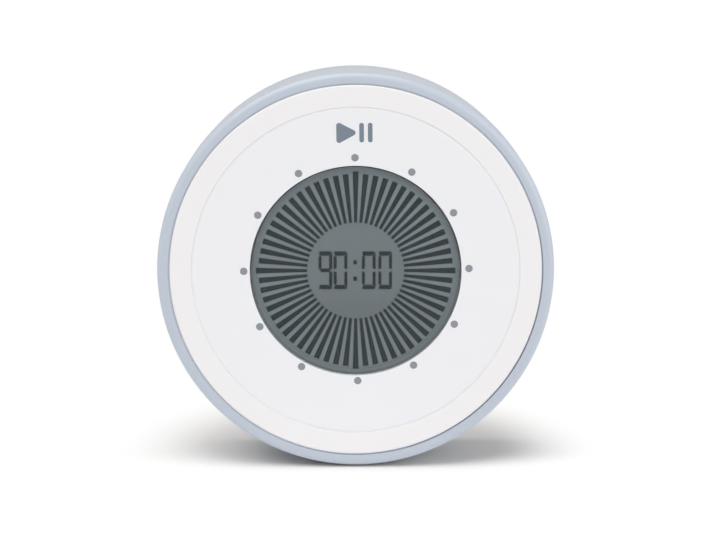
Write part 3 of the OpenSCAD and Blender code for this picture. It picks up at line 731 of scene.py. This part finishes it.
class TIMER_OT_face(bpy.types.Operator):
    """Draws the face: the fixed rim and the disc that is pressed, with its skirt, hooks and pusher"""

    bl_idname = "timer.face"
    bl_label = "Face"

    def execute(self, context):
        """Two whole turns of an outline each, and three hooks that turn theirs through a small angle."""
        sizes = context.scene.timer_sizes
        tones = context.scene.timer_colours
        front = from_back(FACE_FRONT)
        fine = 0.08 * MM
        soft = 0.15 * MM
        inner = FACE_RADIUS - sizes.bezel_width
        rim_back = front - sizes.disc_thickness - 0.5 * MM
        spigot = inner + 1.15 * MM
        ledge = inner - 1.85 * MM
        ledge_front = front - 2.8 * MM
        ledge_back = front - 4 * MM
        bezel = rounded_outline([
            (FACE_RADIUS, front, sizes.face_round), (FACE_RADIUS, rim_back, fine), (spigot, rim_back, fine),
            (spigot, ledge_back, fine), (ledge, ledge_back, fine), (ledge, ledge_front, fine),
            (inner, ledge_front, fine), (inner, front, soft)])
        add_piece("timer_face_bezel", [turned(bezel, BACK_CENTRE, FRONTWARD, FACE_COLUMNS)],
                  self.white("satin_bezel_white", tones.bezel), "base", "face_bezel")
        edge = inner - sizes.groove
        top = front - sizes.print_proud
        under = front - sizes.disc_thickness
        window = LENS_RADIUS + sizes.lens_fit
        lip = inner - sizes.lip_fit
        lip_front = top - sizes.groove_depth
        lip_back = lip_front - 0.5 * MM
        skirt = ledge - 0.3 * MM
        skirt_in = skirt - 1.5 * MM
        hook_back = ledge_back - 1.1 * MM
        hook_front = ledge_back - 0.3 * MM
        hook_tip = skirt + 1.6 * MM
        hook_root = skirt - 0.2 * MM
        brim = 0.06 * MM
        slope = 0.03 * MM
        crisp = 0.02 * MM
        disc = rounded_outline([
            (edge, top, brim), (edge + slope, lip_front, crisp), (lip, lip_front, crisp),
            (lip, lip_back, fine), (edge, lip_back, fine), (edge, under, fine), (skirt, under, fine),
            (skirt, hook_back, fine), (skirt_in, hook_back, fine), (skirt_in, under, fine),
            (window, under, fine), (window, top, fine)])
        hook = rounded_outline([
            (hook_tip, hook_front, fine), (hook_tip, hook_back, fine),
            (hook_root, hook_back, fine), (hook_root, hook_front, fine)], steps=3)
        grids = [turned(disc, BACK_CENTRE, FRONTWARD, FACE_COLUMNS)]
        for degrees in HOOK_TURNS:
            start = math.pi - math.radians(degrees) - HOOK_SWEEP / 2
            grids.append(turned(hook, BACK_CENTRE, FRONTWARD, HOOK_COLUMNS, start, HOOK_SWEEP))
        grids.append(self.pusher(under))
        add_piece("timer_face_disc", grids, self.white("satin_disc_white", tones.disc), "button",
                  "face_button")
        return DONE

    def pusher(self, root):
        """Turned pin behind the disc, with a bevelled end that meets the switch's plunger."""
        end = from_back(reach("switch_plunger", 1)[0])
        radius = 1.3 * MM
        tip_radius = 1.2 * MM
        bevel = 0.08 * MM
        outline = [(0, root), (radius, root), (radius, end + bevel), (tip_radius, end), (0, end)]
        spot = middle("switch_plunger")
        return turned_cap(outline, (spot.x, BACK_PLANE, spot.z), FRONTWARD, PIN_COLUMNS)

    def white(self, name, tone):
        """Satin white plastic with a very fine moulded skin."""
        return moulded(name, tone, 0.42, 0.18 * MM, 0.003 * MM, 0.006, 0.07)


class TIMER_OT_display(bpy.types.Operator):
    """Draws the lens and the digits, and finishes the display behind the lens: field, rim and bars"""

    bl_idname = "timer.display"
    bl_label = "Display"

    def execute(self, context):
        """The lens is a turned outline with a rounded edge, the digits are plates."""
        sizes = context.scene.timer_sizes
        tones = context.scene.timer_colours
        low, high = reach("display_lens", 1)
        front = from_back(low)
        back = from_back(high)
        edge = sizes.lens_round
        lens = [(0, front), (LENS_RADIUS * 0.5, front), (LENS_RADIUS - 3 * edge, front),
                (LENS_RADIUS - edge, front), (LENS_RADIUS - 0.3 * edge, front - 0.3 * edge),
                (LENS_RADIUS, front - edge), (LENS_RADIUS, back + edge),
                (LENS_RADIUS - edge, back), (LENS_RADIUS - 3 * edge, back), (0, back)]
        add_piece("timer_display_lens", [turned_cap(lens, BACK_CENTRE, FRONTWARD, LENS_COLUMNS)],
                  self.clear(), "base", "display_lens")
        dress(self.rim(tones), "lens_gasket")
        dress(self.field(tones), "lcd_glass")
        ink = self.ink(tones)
        dress(ink, "lcd_minute_bars")
        add_piece("timer_display_digits", self.digits(sizes), ink, "base", "lcd_digits")
        return DONE

    def digits(self, sizes):
        """Plates of the lit segments: a nine, a nought, the colon and two noughts."""
        low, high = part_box("lcd_digits")
        tall = high.z - low.z
        shapes = self.segments(sizes, tall + sizes.digit_taller)
        nine, nought = "abcdfg", "abcdef"
        outlines = [shapes[letter] + (start, 0, 0)
                    for start, lit in zip(DIGIT_STARTS, (nine, nought, nought, nought)) for letter in lit]
        across = sizes.colon_width / 2
        over = sizes.colon_height / 2
        soft = 0.2 * MM
        dot = np.array([(-across, -over, soft), (across, -over, soft), (across, over, soft),
                        (-across, over, soft)])
        outlines += [dot + (COLON_START, share * tall, 0) for share in COLON_ROWS]
        corner = (low.x, low.z + sizes.digit_lift)
        return [plate(rounded_outline(flat, steps=4) + corner, low.y, high.y) for flat in outlines]

    def segments(self, sizes, tall):
        """Corners (x, z, rounding) of a digit's segments by letter, from the digit's lower left corner.

        Right posts meet the bars along the line from the digit's outer corner to its inner one, with a
        slit between them. Left posts end square before the bars, whose left ends lean a little. The
        posts end in a slope above and below the middle bar, which has pointed ends.
        """
        wide = sizes.digit_width
        bar = sizes.digit_bar
        post = sizes.digit_post
        slit = sizes.digit_slit
        half = tall / 2
        fine = 0.05 * MM
        soft = 0.15 * MM
        lean = 0.3 * MM
        slope = 0.2 * MM
        point = 0.3 * MM
        neck = 0.54 * MM
        top = np.array([(0, tall, soft), (wide, tall, soft), (wide - post - slit, tall - bar, fine),
                        (lean, tall - bar, fine)])
        end = half + sizes.digit_waist
        left = np.array([(0, tall - bar - 2 * slit, fine), (post, tall - bar - 2 * slit, fine),
                         (post, end + slope, fine), (0, end, fine)])
        right = np.array([(wide, tall - 2 * slit, fine), (wide - post, tall - bar - 2 * slit, fine),
                          (wide - post, end + slope, fine), (wide, end, fine)])
        over_middle = half + sizes.digit_middle / 2
        under_middle = half - sizes.digit_middle / 2
        centre = np.array([(point, half, fine), (neck, over_middle, fine), (wide - neck, over_middle, fine),
                           (wide - point, half, fine), (wide - neck, under_middle, fine),
                           (neck, under_middle, fine)])
        over = np.array([1, -1, 1])
        up = np.array([0, tall, 0])
        return {"a": top, "d": top * over + up, "f": left, "e": left * over + up,
                "b": right, "c": right * over + up, "g": centre}

    def clear(self):
        """Clear acrylic that lets the lamps through to the display, with faint smears in its gloss."""
        finish = Finish("clear_lens")
        smear = finish.noise(7 * MM, 3.0, 0.6, (1.0, 1.0, 2.5))
        finish.surface(Base_Color=(1, 1, 1), Transmission_Weight=1.0, IOR=1.2,
                       Roughness=0.02 + finish.rise(smear, 0.5, 0.8) * 0.05)
        return finish.cover(finish.node("BsdfTransparent"), rays(finish.tree, "Shadow", "Diffuse"))

    def field(self, tones):
        """Reflective grey-green display glass: fine cell texture, paler from the bars outwards as painted
        light that lifts the shade on the field, darker below.
        """
        finish = Finish("display_field")
        cloud = finish.noise(14 * MM, 2.0)
        cells = finish.noise(0.09 * MM, 1.0)
        _, _, z = finish.parts()
        radius = finish.axis_radius()
        barred = finish.rise(radius, 9.1 * MM, 11.1 * MM)
        outer = finish.rise(radius, LENS_RADIUS - 1.9 * MM, LENS_RADIUS - 0.9 * MM)
        lower = finish.rise(z, AXIS_HEIGHT - 2 * MM, AXIS_HEIGHT - 8 * MM)
        # Painted light: the field is drawn paler from the bars outwards, a little less at the rim
        paler = barred * PAINTED_LIGHT_BARS + outer * (PAINTED_LIGHT_RIM - PAINTED_LIGHT_BARS)
        gain = 1.0 + paler - lower * DARKER_BELOW - cloud.swing(FIELD_CLOUD)
        return finish.surface(Base_Color=finish.node("VectorMath", {"operation": "SCALE"},
                                                     {"Vector": tones.field, "Scale": gain}),
                              Roughness=0.5 + cells.swing(0.12),
                              Specular_IOR_Level=DISPLAY_GLOSS,
                              Normal=finish.bump(cells, 0.002 * MM))

    def ink(self, tones):
        """Dark lit segments with a trace of the glass's texture."""
        finish = Finish("display_segments")
        cells = finish.noise(0.09 * MM, 1.0)
        return finish.surface(Base_Color=finish.mottle(cells, tones.segments, 0.08),
                              Roughness=0.5 + cells.swing(0.12),
                              Specular_IOR_Level=DISPLAY_GLOSS)

    def rim(self, tones):
        """Ring under the lens's edge, darker outwards: painted shade round the edge of the display."""
        finish = Finish("display_rim")
        # Painted shade: the field's tone inside, turning to the dark rim tone outwards
        outer = finish.rise(finish.axis_radius(), LENS_RADIUS - 0.6 * MM, LENS_RADIUS)
        grain = finish.noise(0.2 * MM, 2.0)
        return finish.surface(Base_Color=finish.blend(outer, tinted(tones.field, PAINTED_LIGHT_RIM), tones.rim),
                              Roughness=0.6 + grain.swing(0.1),
                              Specular_IOR_Level=DISPLAY_GLOSS)


class TIMER_OT_print(bpy.types.Operator):
    """Finishes the printed minute dots and the start and pause mark"""

    bl_idname = "timer.print"
    bl_label = "Print"

    def execute(self, context):
        tones = context.scene.timer_colours
        dress(self.ink("dot_ink", tones.dots), "minute_dots")
        dress(self.ink("mark_ink", tones.mark), "play_pause_mark")
        return DONE

    def ink(self, name, tone):
        """Pad-printed ink: slightly uneven cover and a dull surface."""
        finish = Finish(name)
        cover = finish.noise(0.25 * MM, 3.0)
        return finish.surface(Base_Color=finish.blend(cover, tinted(tone, -0.05), tinted(tone, 0.06)),
                              Roughness=0.55 + cover.swing(0.15),
                              Normal=finish.bump(cover, 0.003 * MM))


class TIMER_OT_rear_shell(bpy.types.Operator):
    """Finishes the rear shell, its battery door and the volume knob"""

    bl_idname = "timer.rear_shell"
    bl_label = "Rear shell"

    def execute(self, context):
        tones = context.scene.timer_colours
        dress(self.spark_texture(tones.shell), "rear_base", "battery_door")
        dress(moulded("knob_plastic", tones.knob, 0.45), "volume_knob")
        return DONE

    def spark_texture(self, tone):
        """Matt plastic with a spark-eroded texture, rubbed a little smoother in patches."""
        finish = Finish("matt_shell_plastic")
        pits = finish.noise(0.38 * MM, 3.0, 0.65)
        cloud = finish.noise(12 * MM, 3.0)
        rubbed = finish.rise(cloud, 0.5, 0.75)
        return finish.surface(Base_Color=finish.mottle(pits, tone, 0.05),
                              Roughness=0.6 + pits.swing(0.16) - rubbed * 0.08,
                              Normal=finish.bump(pits, 0.02 * MM, 0.7))


class TIMER_OT_foot(bpy.types.Operator):
    """Draws the rubber foot with a grooved tread"""

    bl_idname = "timer.foot"
    bl_label = "Foot"

    def execute(self, context):
        """Rounded section carried along the depth, with the tread pressed into its underside.

        Near both ends the section shrinks along a quarter circle, and the first and last rows close it.
        The grooves are eased from a cosine along the depth, which comes round once in every pitch.
        """
        sizes = context.scene.timer_sizes
        low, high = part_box("foot_pad")
        half = (high.x - low.x) / 2
        rounding = 0.6 * MM
        section = rounded_outline([(-half, low.z, rounding), (half, low.z, rounding),
                                   (half, high.z, rounding), (-half, high.z, rounding)])
        span = high.y - low.y
        curve = rounding / 2
        bend_rows = 5
        run_rows = 100
        plain_end = 1 * MM
        full_groove = 1.4 * MM
        groove_edge = 0.3 * MM
        bend = curve * np.linspace(0, 1, bend_rows)
        run = np.linspace(curve, span - curve, run_rows)[1:-1]
        rows = np.concatenate([[0], bend, run, span - bend[::-1], [span]])
        from_end = np.minimum(rows, span - rows)
        inset = curve - np.minimum(curve, from_end)
        shrink = curve - np.sqrt(np.maximum(curve ** 2 - inset ** 2, 0))
        shrink[[0, -1]] = half
        centre = np.array([0, (low.z + high.z) / 2])
        reach_in = 1 - shrink[:, None, None] / np.array([half, (high.z - low.z) / 2])
        grid = centre + (section - centre)[None] * np.maximum(reach_in, 0)
        wave = 0.5 + 0.5 * np.cos(FULL_TURN * (rows - span / 2) / sizes.tread_pitch)
        groove = smooth_step(wave, 0.55, 0.9) * smooth_step(from_end, plain_end, full_groove)
        under = smooth_step(low.z - section[:, 1], -groove_edge, 0)
        grid[..., 1] += sizes.tread_depth * groove[:, None] * under
        depth = np.repeat((low.y + rows)[:, None], len(section), axis=1)
        points = np.stack([grid[..., 0], depth, grid[..., 1]], axis=-1)
        add_piece("timer_foot_pad", [(points, False, True)], rubber(context), "base", "foot_pad")
        return DONE


def rubber(context):
    """Matt rubber with a dusty, pebbled skin."""
    tone = context.scene.timer_colours.rubber
    finish = Finish("matt_rubber")
    pebbles = finish.noise(0.3 * MM, 3.0, 0.6)
    dust = finish.rise(finish.noise(3 * MM, 3.0), 0.5, 0.8)
    return finish.surface(Base_Color=finish.blend(dust * 0.35, tone, tinted(tone, 0.8)),
                          Roughness=0.78 + pebbles.swing(0.2),
                          Normal=finish.bump(pebbles, 0.015 * MM))


class TIMER_OT_battery_bay(bpy.types.Operator):
    """Draws the cells and wound springs, and finishes the contacts and leads"""

    bl_idname = "timer.battery_bay"
    bl_label = "Battery bay"

    def execute(self, context):
        tones = context.scene.timer_colours
        wire = context.scene.timer_sizes.spring_wire / 2
        wide = 3.1 * MM
        narrow = 2.2 * MM
        turns = 5.5
        coils = []
        for node, facing, side in (("battery_cell_upper", 1.0, 0), ("battery_cell_lower", -1.0, 1)):
            add_piece("timer_" + node, [self.cell(node, facing)], self.wrap(node, facing, tones),
                      "base", node)
            spot = middle(node)
            base = reach("battery_springs", 0)[side]
            height = abs(reach(node, 0)[side] - base)
            coils.append(coil((base, spot.y, spot.z), (facing, 0, 0), height, wide, narrow, wire, turns))
        add_piece("timer_battery_springs", coils, metal("bright_spring_wire", tones.steel, 0.28, 0.12),
                  "base", "battery_springs")
        dress(metal("contact_plate", tones.steel, 0.34, 0.15, (1.0, 0.05, 1.0)), "contact_plates")
        dress(self.leads(tones), "battery_leads")
        return DONE

    def cell(self, node, facing):
        """Turned cell: domed cap, stepped shoulder, crimped wrap edges and a dished flat end."""
        low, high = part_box(node)
        spot = middle(node)
        whole = high.x - low.x
        radius = (high.z - low.z) / 2
        body = whole - 0.9 * MM
        cap = 1.9 * MM
        edge = 0.35 * MM
        crimp = 0.1 * MM
        dish = 0.25 * MM
        sunk = 0.3 * MM
        fold = 0.9 * MM
        outline = [
            (0, dish), (radius * 0.62, dish), (radius * 0.7, 0.02 * MM), (radius * 0.8, 0),
            (radius - edge, 0), (radius - crimp, crimp), (radius, edge), (radius, fold), (radius, body / 2),
            (radius, body - fold), (radius, body - edge), (radius - crimp, body - crimp),
            (radius - edge, body), (radius * 0.82, body), (radius * 0.78, body - sunk),
            (radius * 0.55, body - sunk), (cap + dish, body), (cap, body + 0.2 * MM), (cap, whole - dish),
            (cap - crimp, whole - 0.08 * MM), (cap - sunk, whole), (0, whole)]
        base = (low.x if facing > 0 else high.x, spot.y, spot.z)
        return turned_cap(outline, base, (facing, 0, 0), DISC_COLUMNS)

    def wrap(self, node, facing, tones):
        """Printed wrap with a coloured band by the cap, over bare plated ends."""
        low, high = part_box(node)
        finish = Finish(node + "_wrap")
        x, y, z = finish.parts()
        along = x - low.x if facing > 0 else high.x - x
        whole = high.x - low.x
        spot = middle(node)
        off_y = y - spot.y
        off_z = z - spot.z
        radius = (off_y * off_y + off_z * off_z) ** 0.5
        bare_radius = 4.55 * MM
        band_start = whole - 11 * MM
        line_place = whole - 12 * MM
        line_half = 0.3 * MM
        blur = 0.1 * MM
        bare = 1 - finish.rise(radius, bare_radius, bare_radius + blur)
        band = finish.rise(along, band_start, band_start + blur)
        line = finish.rise(abs(along - line_place), line_half, line_half - blur / 2)
        scuff = finish.rise(finish.noise(1.6 * MM, 4.0, 0.6, (0.3, 1.0, 1.0)), 0.55, 0.8)
        body = finish.blend(band, tones.wrap, tones.band)
        body = finish.blend(line, body, tones.steel)
        body = finish.blend(scuff * 0.2, body, tones.steel)
        return finish.surface(Base_Color=finish.blend(bare, body, tones.steel),
                              Metallic=bare + band * (1 - bare) * 0.4,
                              Roughness=0.33 + scuff * 0.15)

    def leads(self, tones):
        """Two insulated leads, one of each colour, with a faint shrink texture."""
        finish = Finish("lead_sleeve")
        x, _, _ = finish.parts()
        ripple = finish.noise(0.4 * MM, 2.0)
        return finish.surface(Base_Color=finish.blend(x.above(0.0), tones.lead_black, tones.lead_red),
                              Roughness=0.45 + ripple.swing(0.2),
                              Normal=finish.bump(ripple, 0.01 * MM))


class TIMER_OT_fasteners(bpy.types.Operator):
    """Draws the cross-head screws and the magnets in the back, and finishes the board screws"""

    bl_idname = "timer.fasteners"
    bl_label = "Screws and magnets"

    def execute(self, context):
        """The magnets are turned outlines with rounded edges."""
        sizes = context.scene.timer_sizes
        tones = context.scene.timer_colours
        zinc = metal("zinc_screw", tones.steel, 0.32, 0.15)
        head_height = 1.5 * MM
        door_head_height = 0.8 * MM
        screws = [self.screw("housing_screws", on_back(degrees, SCREW_CIRCLE), head_height)
                  for degrees in SCREW_TURNS]
        add_piece("timer_housing_screws", screws, zinc, "base", "housing_screws")
        spot = middle("battery_door_screw")
        door_screw = self.screw("battery_door_screw", (spot.x, BACK_PLANE, spot.z), door_head_height)
        add_piece("timer_door_screw", [door_screw], zinc, "door", "battery_door_screw")
        edge = sizes.magnet_edge
        radius = 5 * MM
        far, near = (from_back(y) for y in reach("magnets", 1))
        outline = [(0, near), (radius * 0.6, near), (radius - 2 * edge, near), (radius - edge, near),
                   (radius - 0.3 * edge, near + 0.3 * edge), (radius, near + edge), (radius, far - edge),
                   (radius - edge, far), (0, far)]
        discs = [turned_cap(outline, on_back(degrees, MAGNET_CIRCLE), FRONTWARD, DISC_COLUMNS)
                 for degrees in MAGNET_TURNS]
        add_piece("timer_magnets", discs, metal("nickel_magnet", tinted(tones.steel, -0.1), 0.22, 0.18),
                  "base", "magnets")
        dress(zinc, "board_screws")
        return DONE

    def screw(self, node, spot, head_height):
        """Cross-head screw: a turned outline whose top is sunk by a depth set by the cross's two arms."""
        tip, head_top = (from_back(y) for y in reach(node, 1))
        head = 2 * MM
        shank = MM
        fine = 0.06 * MM
        bevel = 0.15 * MM
        crown = 0.12 * MM
        brim = 0.35 * MM
        point = 0.8 * MM
        recess = 0.45 * head_height
        top_rows = 16
        columns = SCREW_COLUMNS
        under = head_top + head_height
        top = np.linspace(0, head - bevel, top_rows)
        dome = crown * (top / head) ** 2
        outline = np.concatenate([
            np.stack([top, head_top + dome], axis=1),
            [(head, head_top + brim), (head, under - fine), (head - fine, under), (shank, under),
             (shank, tip - point), (0, tip)]])
        grid = np.repeat(outline[:, None], columns, axis=1)
        angle = np.linspace(0, FULL_TURN, columns, endpoint=False)
        across = np.abs(top[:, None] * np.cos(angle))
        over = np.abs(top[:, None] * np.sin(angle))
        slot_edge = 0.38 * MM
        slot_floor = 0.23 * MM
        arm_end = 1.35 * MM
        arm_floor = 1.1 * MM
        arms = smooth_step(-np.minimum(across, over), -slot_edge, -slot_floor)
        ends = smooth_step(-np.maximum(across, over), -arm_end, -arm_floor)
        grid[:len(top), :, 1] += recess * arms * ends
        return turned_cap(grid, spot, FRONTWARD, columns)


class TIMER_OT_works(bpy.types.Operator):
    """Draws the disc's return springs and finishes the frames, board and other parts inside"""

    bl_idname = "timer.works"
    bl_label = "Works"

    def execute(self, context):
        tones = context.scene.timer_colours
        low, high = reach("return_springs", 1)
        span = high - low
        spring_ring = math.dist((0, AXIS_HEIGHT), middle("switch_plunger").xz)
        radius = 1.1 * MM
        wire = 0.17 * MM
        turns = 6.5
        coils = []
        for degrees in SPRING_TURNS:
            x, _, z = on_back(degrees, spring_ring)
            coils.append(coil((x, high, z), FRONTWARD, span, radius, radius, wire, turns, steps=20))
        springs = add_piece("timer_return_springs", coils, metal("return_spring_wire", tones.steel, 0.3),
                            "base", "return_springs")
        press = next(joint for joint in frame["joints"] if joint["name"] == "face_press")
        1 - press["range_m"][1] / span
        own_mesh(springs)
        dress(moulded("inner_frame_plastic", tones.inner, 0.5, 0.3 * MM, 0.01 * MM),
              "core_frame", "lcd_holder", "lcd_reflector", "encoder_pinion", "switch_plunger")
        dress(moulded("black_part_plastic", tones.dark, 0.5, 0.2 * MM, 0.008 * MM, 0.08),
              "controller_chip", "hall_sensor", "start_switch", "buzzer", "volume_switch")
        dress(metal("plated_part", tones.steel, 0.3),
              "crystal", "encoder_axle", "encoder_magnet", "detent_spring")
        dress(self.connector(tones), "zebra_strips")
        dress(self.board(tones), "main_board")
        return DONE

    def connector(self, tones):
        """Rubber connector: thin dark and pale layers side by side."""
        finish = Finish("layered_connector")
        x, _, _ = finish.parts()
        layer = finish.rise(x.wave(0.25 * MM), -0.2, 0.2)
        return finish.surface(Base_Color=finish.blend(layer, tones.rubber, tinted(tones.rubber, 1.6)),
                              Roughness=0.7)

    def board(self, tones):
        """Green circuit board: woven cloth under the mask, paler tracks and tinned pads."""
        finish = Finish("circuit_board")
        x, _, z = finish.parts()
        thread = 0.5 * MM
        weave = x.wave(thread) * z.wave(thread)
        cells = finish.node("TexVoronoi", {"distance": "MANHATTAN"},
                            {"Vector": finish.place(), "Scale": 1 / (3.2 * MM), "Randomness": 0.6})
        track = finish.rise(abs(cells - 0.45), 0.06, 0.03)
        pad = finish.rise(cells, 0.12, 0.1)
        mask = finish.blend(track, tones.board, tinted(tones.board, 0.45))
        return finish.surface(Base_Color=finish.blend(pad, mask, tones.steel), Metallic=pad,
                              Roughness=0.38 + weave * 0.05, Normal=finish.bump(weave, 0.006 * MM))


class TIMER_OT_stage(bpy.types.Operator):
    """Sets the camera, the soft light, the white surroundings and the floor"""

    bl_idname = "timer.stage"
    bl_label = "Stage"

    def execute(self, context):
        studio = context.scene.timer_studio
        context.scene.view_settings.view_transform = "Standard"
        self.camera(context, studio)
        for name in ("key", "front", "side"):
            self.light(context, studio, name)
        self.surroundings(context, studio)
        self.floor(context, studio)
        return DONE

    def direction(self, azimuth, elevation):
        """Unit vector towards a point seen at an azimuth from the front and an elevation."""
        return Vector((math.sin(azimuth) * math.cos(elevation), -math.cos(azimuth) * math.cos(elevation),
                       math.sin(elevation)))

    def camera(self, context, studio):
        """Camera in front of the face and a little above it."""
        lens = bpy.data.cameras.new("photo_camera")
        lens.sensor_fit = "HORIZONTAL"
        lens.sensor_width = 36
        lens.lens = studio.focal
        lens.clip_start = 0.01
        lens.clip_end = 30
        camera = bpy.data.objects.new("photo_camera", lens)
        context.scene.collection.objects.link(camera)
        face = Vector((0, FACE_FRONT, AXIS_HEIGHT))
        camera.location = face + studio.distance * self.direction(studio.azimuth, studio.elevation)
        look = face + Vector((studio.aim_right, 0, studio.aim_up)) - camera.location
        camera.rotation_euler = look.to_track_quat("-Z", "Y").to_euler()
        context.scene.camera = camera

    def light(self, context, studio, name):
        """One wide soft lamp with the power, spread and direction that are set under its name."""
        power, spread, azimuth, elevation = (
            getattr(studio, name + part) for part in ("_power", "_spread", "_azimuth", "_elevation"))
        lamp = bpy.data.lights.new("soft_" + name, "SUN")
        lamp.energy = power
        lamp.angle = spread
        stand = bpy.data.objects.new("soft_" + name, lamp)
        context.scene.collection.objects.link(stand)
        stand.rotation_euler = self.direction(azimuth, elevation).to_track_quat("Z", "Y").to_euler()

    def seen(self, tree):
        """1 for rays that show the surroundings to the camera, in gloss or through glass."""
        return rays(tree, "Camera", "Glossy", "Transmission")

    def surroundings(self, context, studio):
        """White where it is seen, a soft grey fill for the light that it casts."""
        world = bpy.data.worlds.new("white_studio")
        context.scene.world = world
        world.use_nodes = True
        tree = world.node_tree
        background = tree.nodes["Background"]
        background.inputs["Color"].default_value = (1, 1, 1, 1)
        strength = self.seen(tree) * (1 - studio.fill_power) + studio.fill_power
        tree.links.new(strength.socket, background.inputs["Strength"])

    def floor(self, context, studio):
        """Round floor: rings of points whose radius grows by a steady ratio from the middle."""
        first_ring = 50 * MM
        ring = np.concatenate([[0.0], np.geomspace(first_ring, studio.floor_radius, 24)])
        angle = np.linspace(0, FULL_TURN, FLOOR_COLUMNS, endpoint=False)
        grid = np.stack([ring[:, None] * np.cos(angle), ring[:, None] * np.sin(angle),
                         np.zeros((len(ring), len(angle)))], axis=-1)
        faces = grid_faces(len(ring), len(angle), False, True)[:, ::-1]
        mesh = bpy.data.meshes.new("studio_floor")
        mesh.from_pydata(grid.reshape(-1, 3).tolist(), [], faces.tolist())
        tidy_mesh(mesh)
        floor = bpy.data.objects.new("studio_floor", mesh)
        context.scene.collection.objects.link(floor)
        mesh.materials.append(self.floor_finish(studio))

    def floor_finish(self, studio):
        """Matt white that takes the shadow near the timer and turns to plain white further out; where the
        camera and gloss see it, it has a darker, warmer tone, a painted shade that deepens the shadow.
        """
        finish = Finish("white_floor")
        # Painted shade: camera and gloss see the floor in the darker tone, while light bounces off the
        # plain floor colour
        finish.surface(Base_Color=finish.blend(self.seen(finish.tree), studio.floor, studio.painted_shade_tone),
                       Roughness=0.9, Specular_IOR_Level=0.0)
        x, y, _ = finish.parts()
        across = x / studio.shade_width
        behind = y - studio.shade_line
        along = (behind / studio.shade_back).most(behind / -studio.shade_front)
        away = (across * across + along * along) ** 0.5
        share = finish.rise(away, studio.shade_core, 1.0) * self.seen(finish.tree)
        glow = finish.node("Emission", None, {"Color": (1, 1, 1), "Strength": 1.0})
        return finish.cover(glow, share)


class TIMER_PT_panel(bpy.types.Panel):
    """Lists the timer's settings and the operators that draw it"""

    bl_idname = "TIMER_PT_panel"
    bl_label = "Visual timer"
    bl_space_type = "VIEW_3D"
    bl_region_type = "UI"
    bl_category = "Timer"

    def draw(self, context):
        for group in (context.scene.timer_sizes, context.scene.timer_colours, context.scene.timer_studio):
            box = self.layout.box()
            for name in group.__annotations__:
                box.prop(group, name)
        for operator in OPERATORS:
            self.layout.operator(operator.bl_idname)


GROUPS = {"timer_sizes": TimerSizes, "timer_colours": TimerColours, "timer_studio": TimerStudio}
OPERATORS = (TIMER_OT_stage, TIMER_OT_twist_ring, TIMER_OT_face, TIMER_OT_display, TIMER_OT_print,
             TIMER_OT_rear_shell, TIMER_OT_foot, TIMER_OT_battery_bay, TIMER_OT_fasteners, TIMER_OT_works)


def register():
    """Registers the settings, operators and panel."""
    for name, group in GROUPS.items():
        bpy.utils.register_class(group)
        setattr(bpy.types.Scene, name, bpy.props.PointerProperty(type=group))
    for part in (*OPERATORS, TIMER_PT_panel):
        bpy.utils.register_class(part)


def unregister():
    """Takes them away again."""
    for part in (TIMER_PT_panel, *reversed(OPERATORS)):
        bpy.utils.unregister_class(part)
    for name, group in GROUPS.items():
        delattr(bpy.types.Scene, name)
        bpy.utils.unregister_class(group)


def main():
    """Draws the whole timer and its stage."""
    register()
    for operator in OPERATORS:
        family, name = operator.bl_idname.split(".")
        getattr(getattr(bpy.ops, family), name)()


if __name__ == "__main__":
    main()
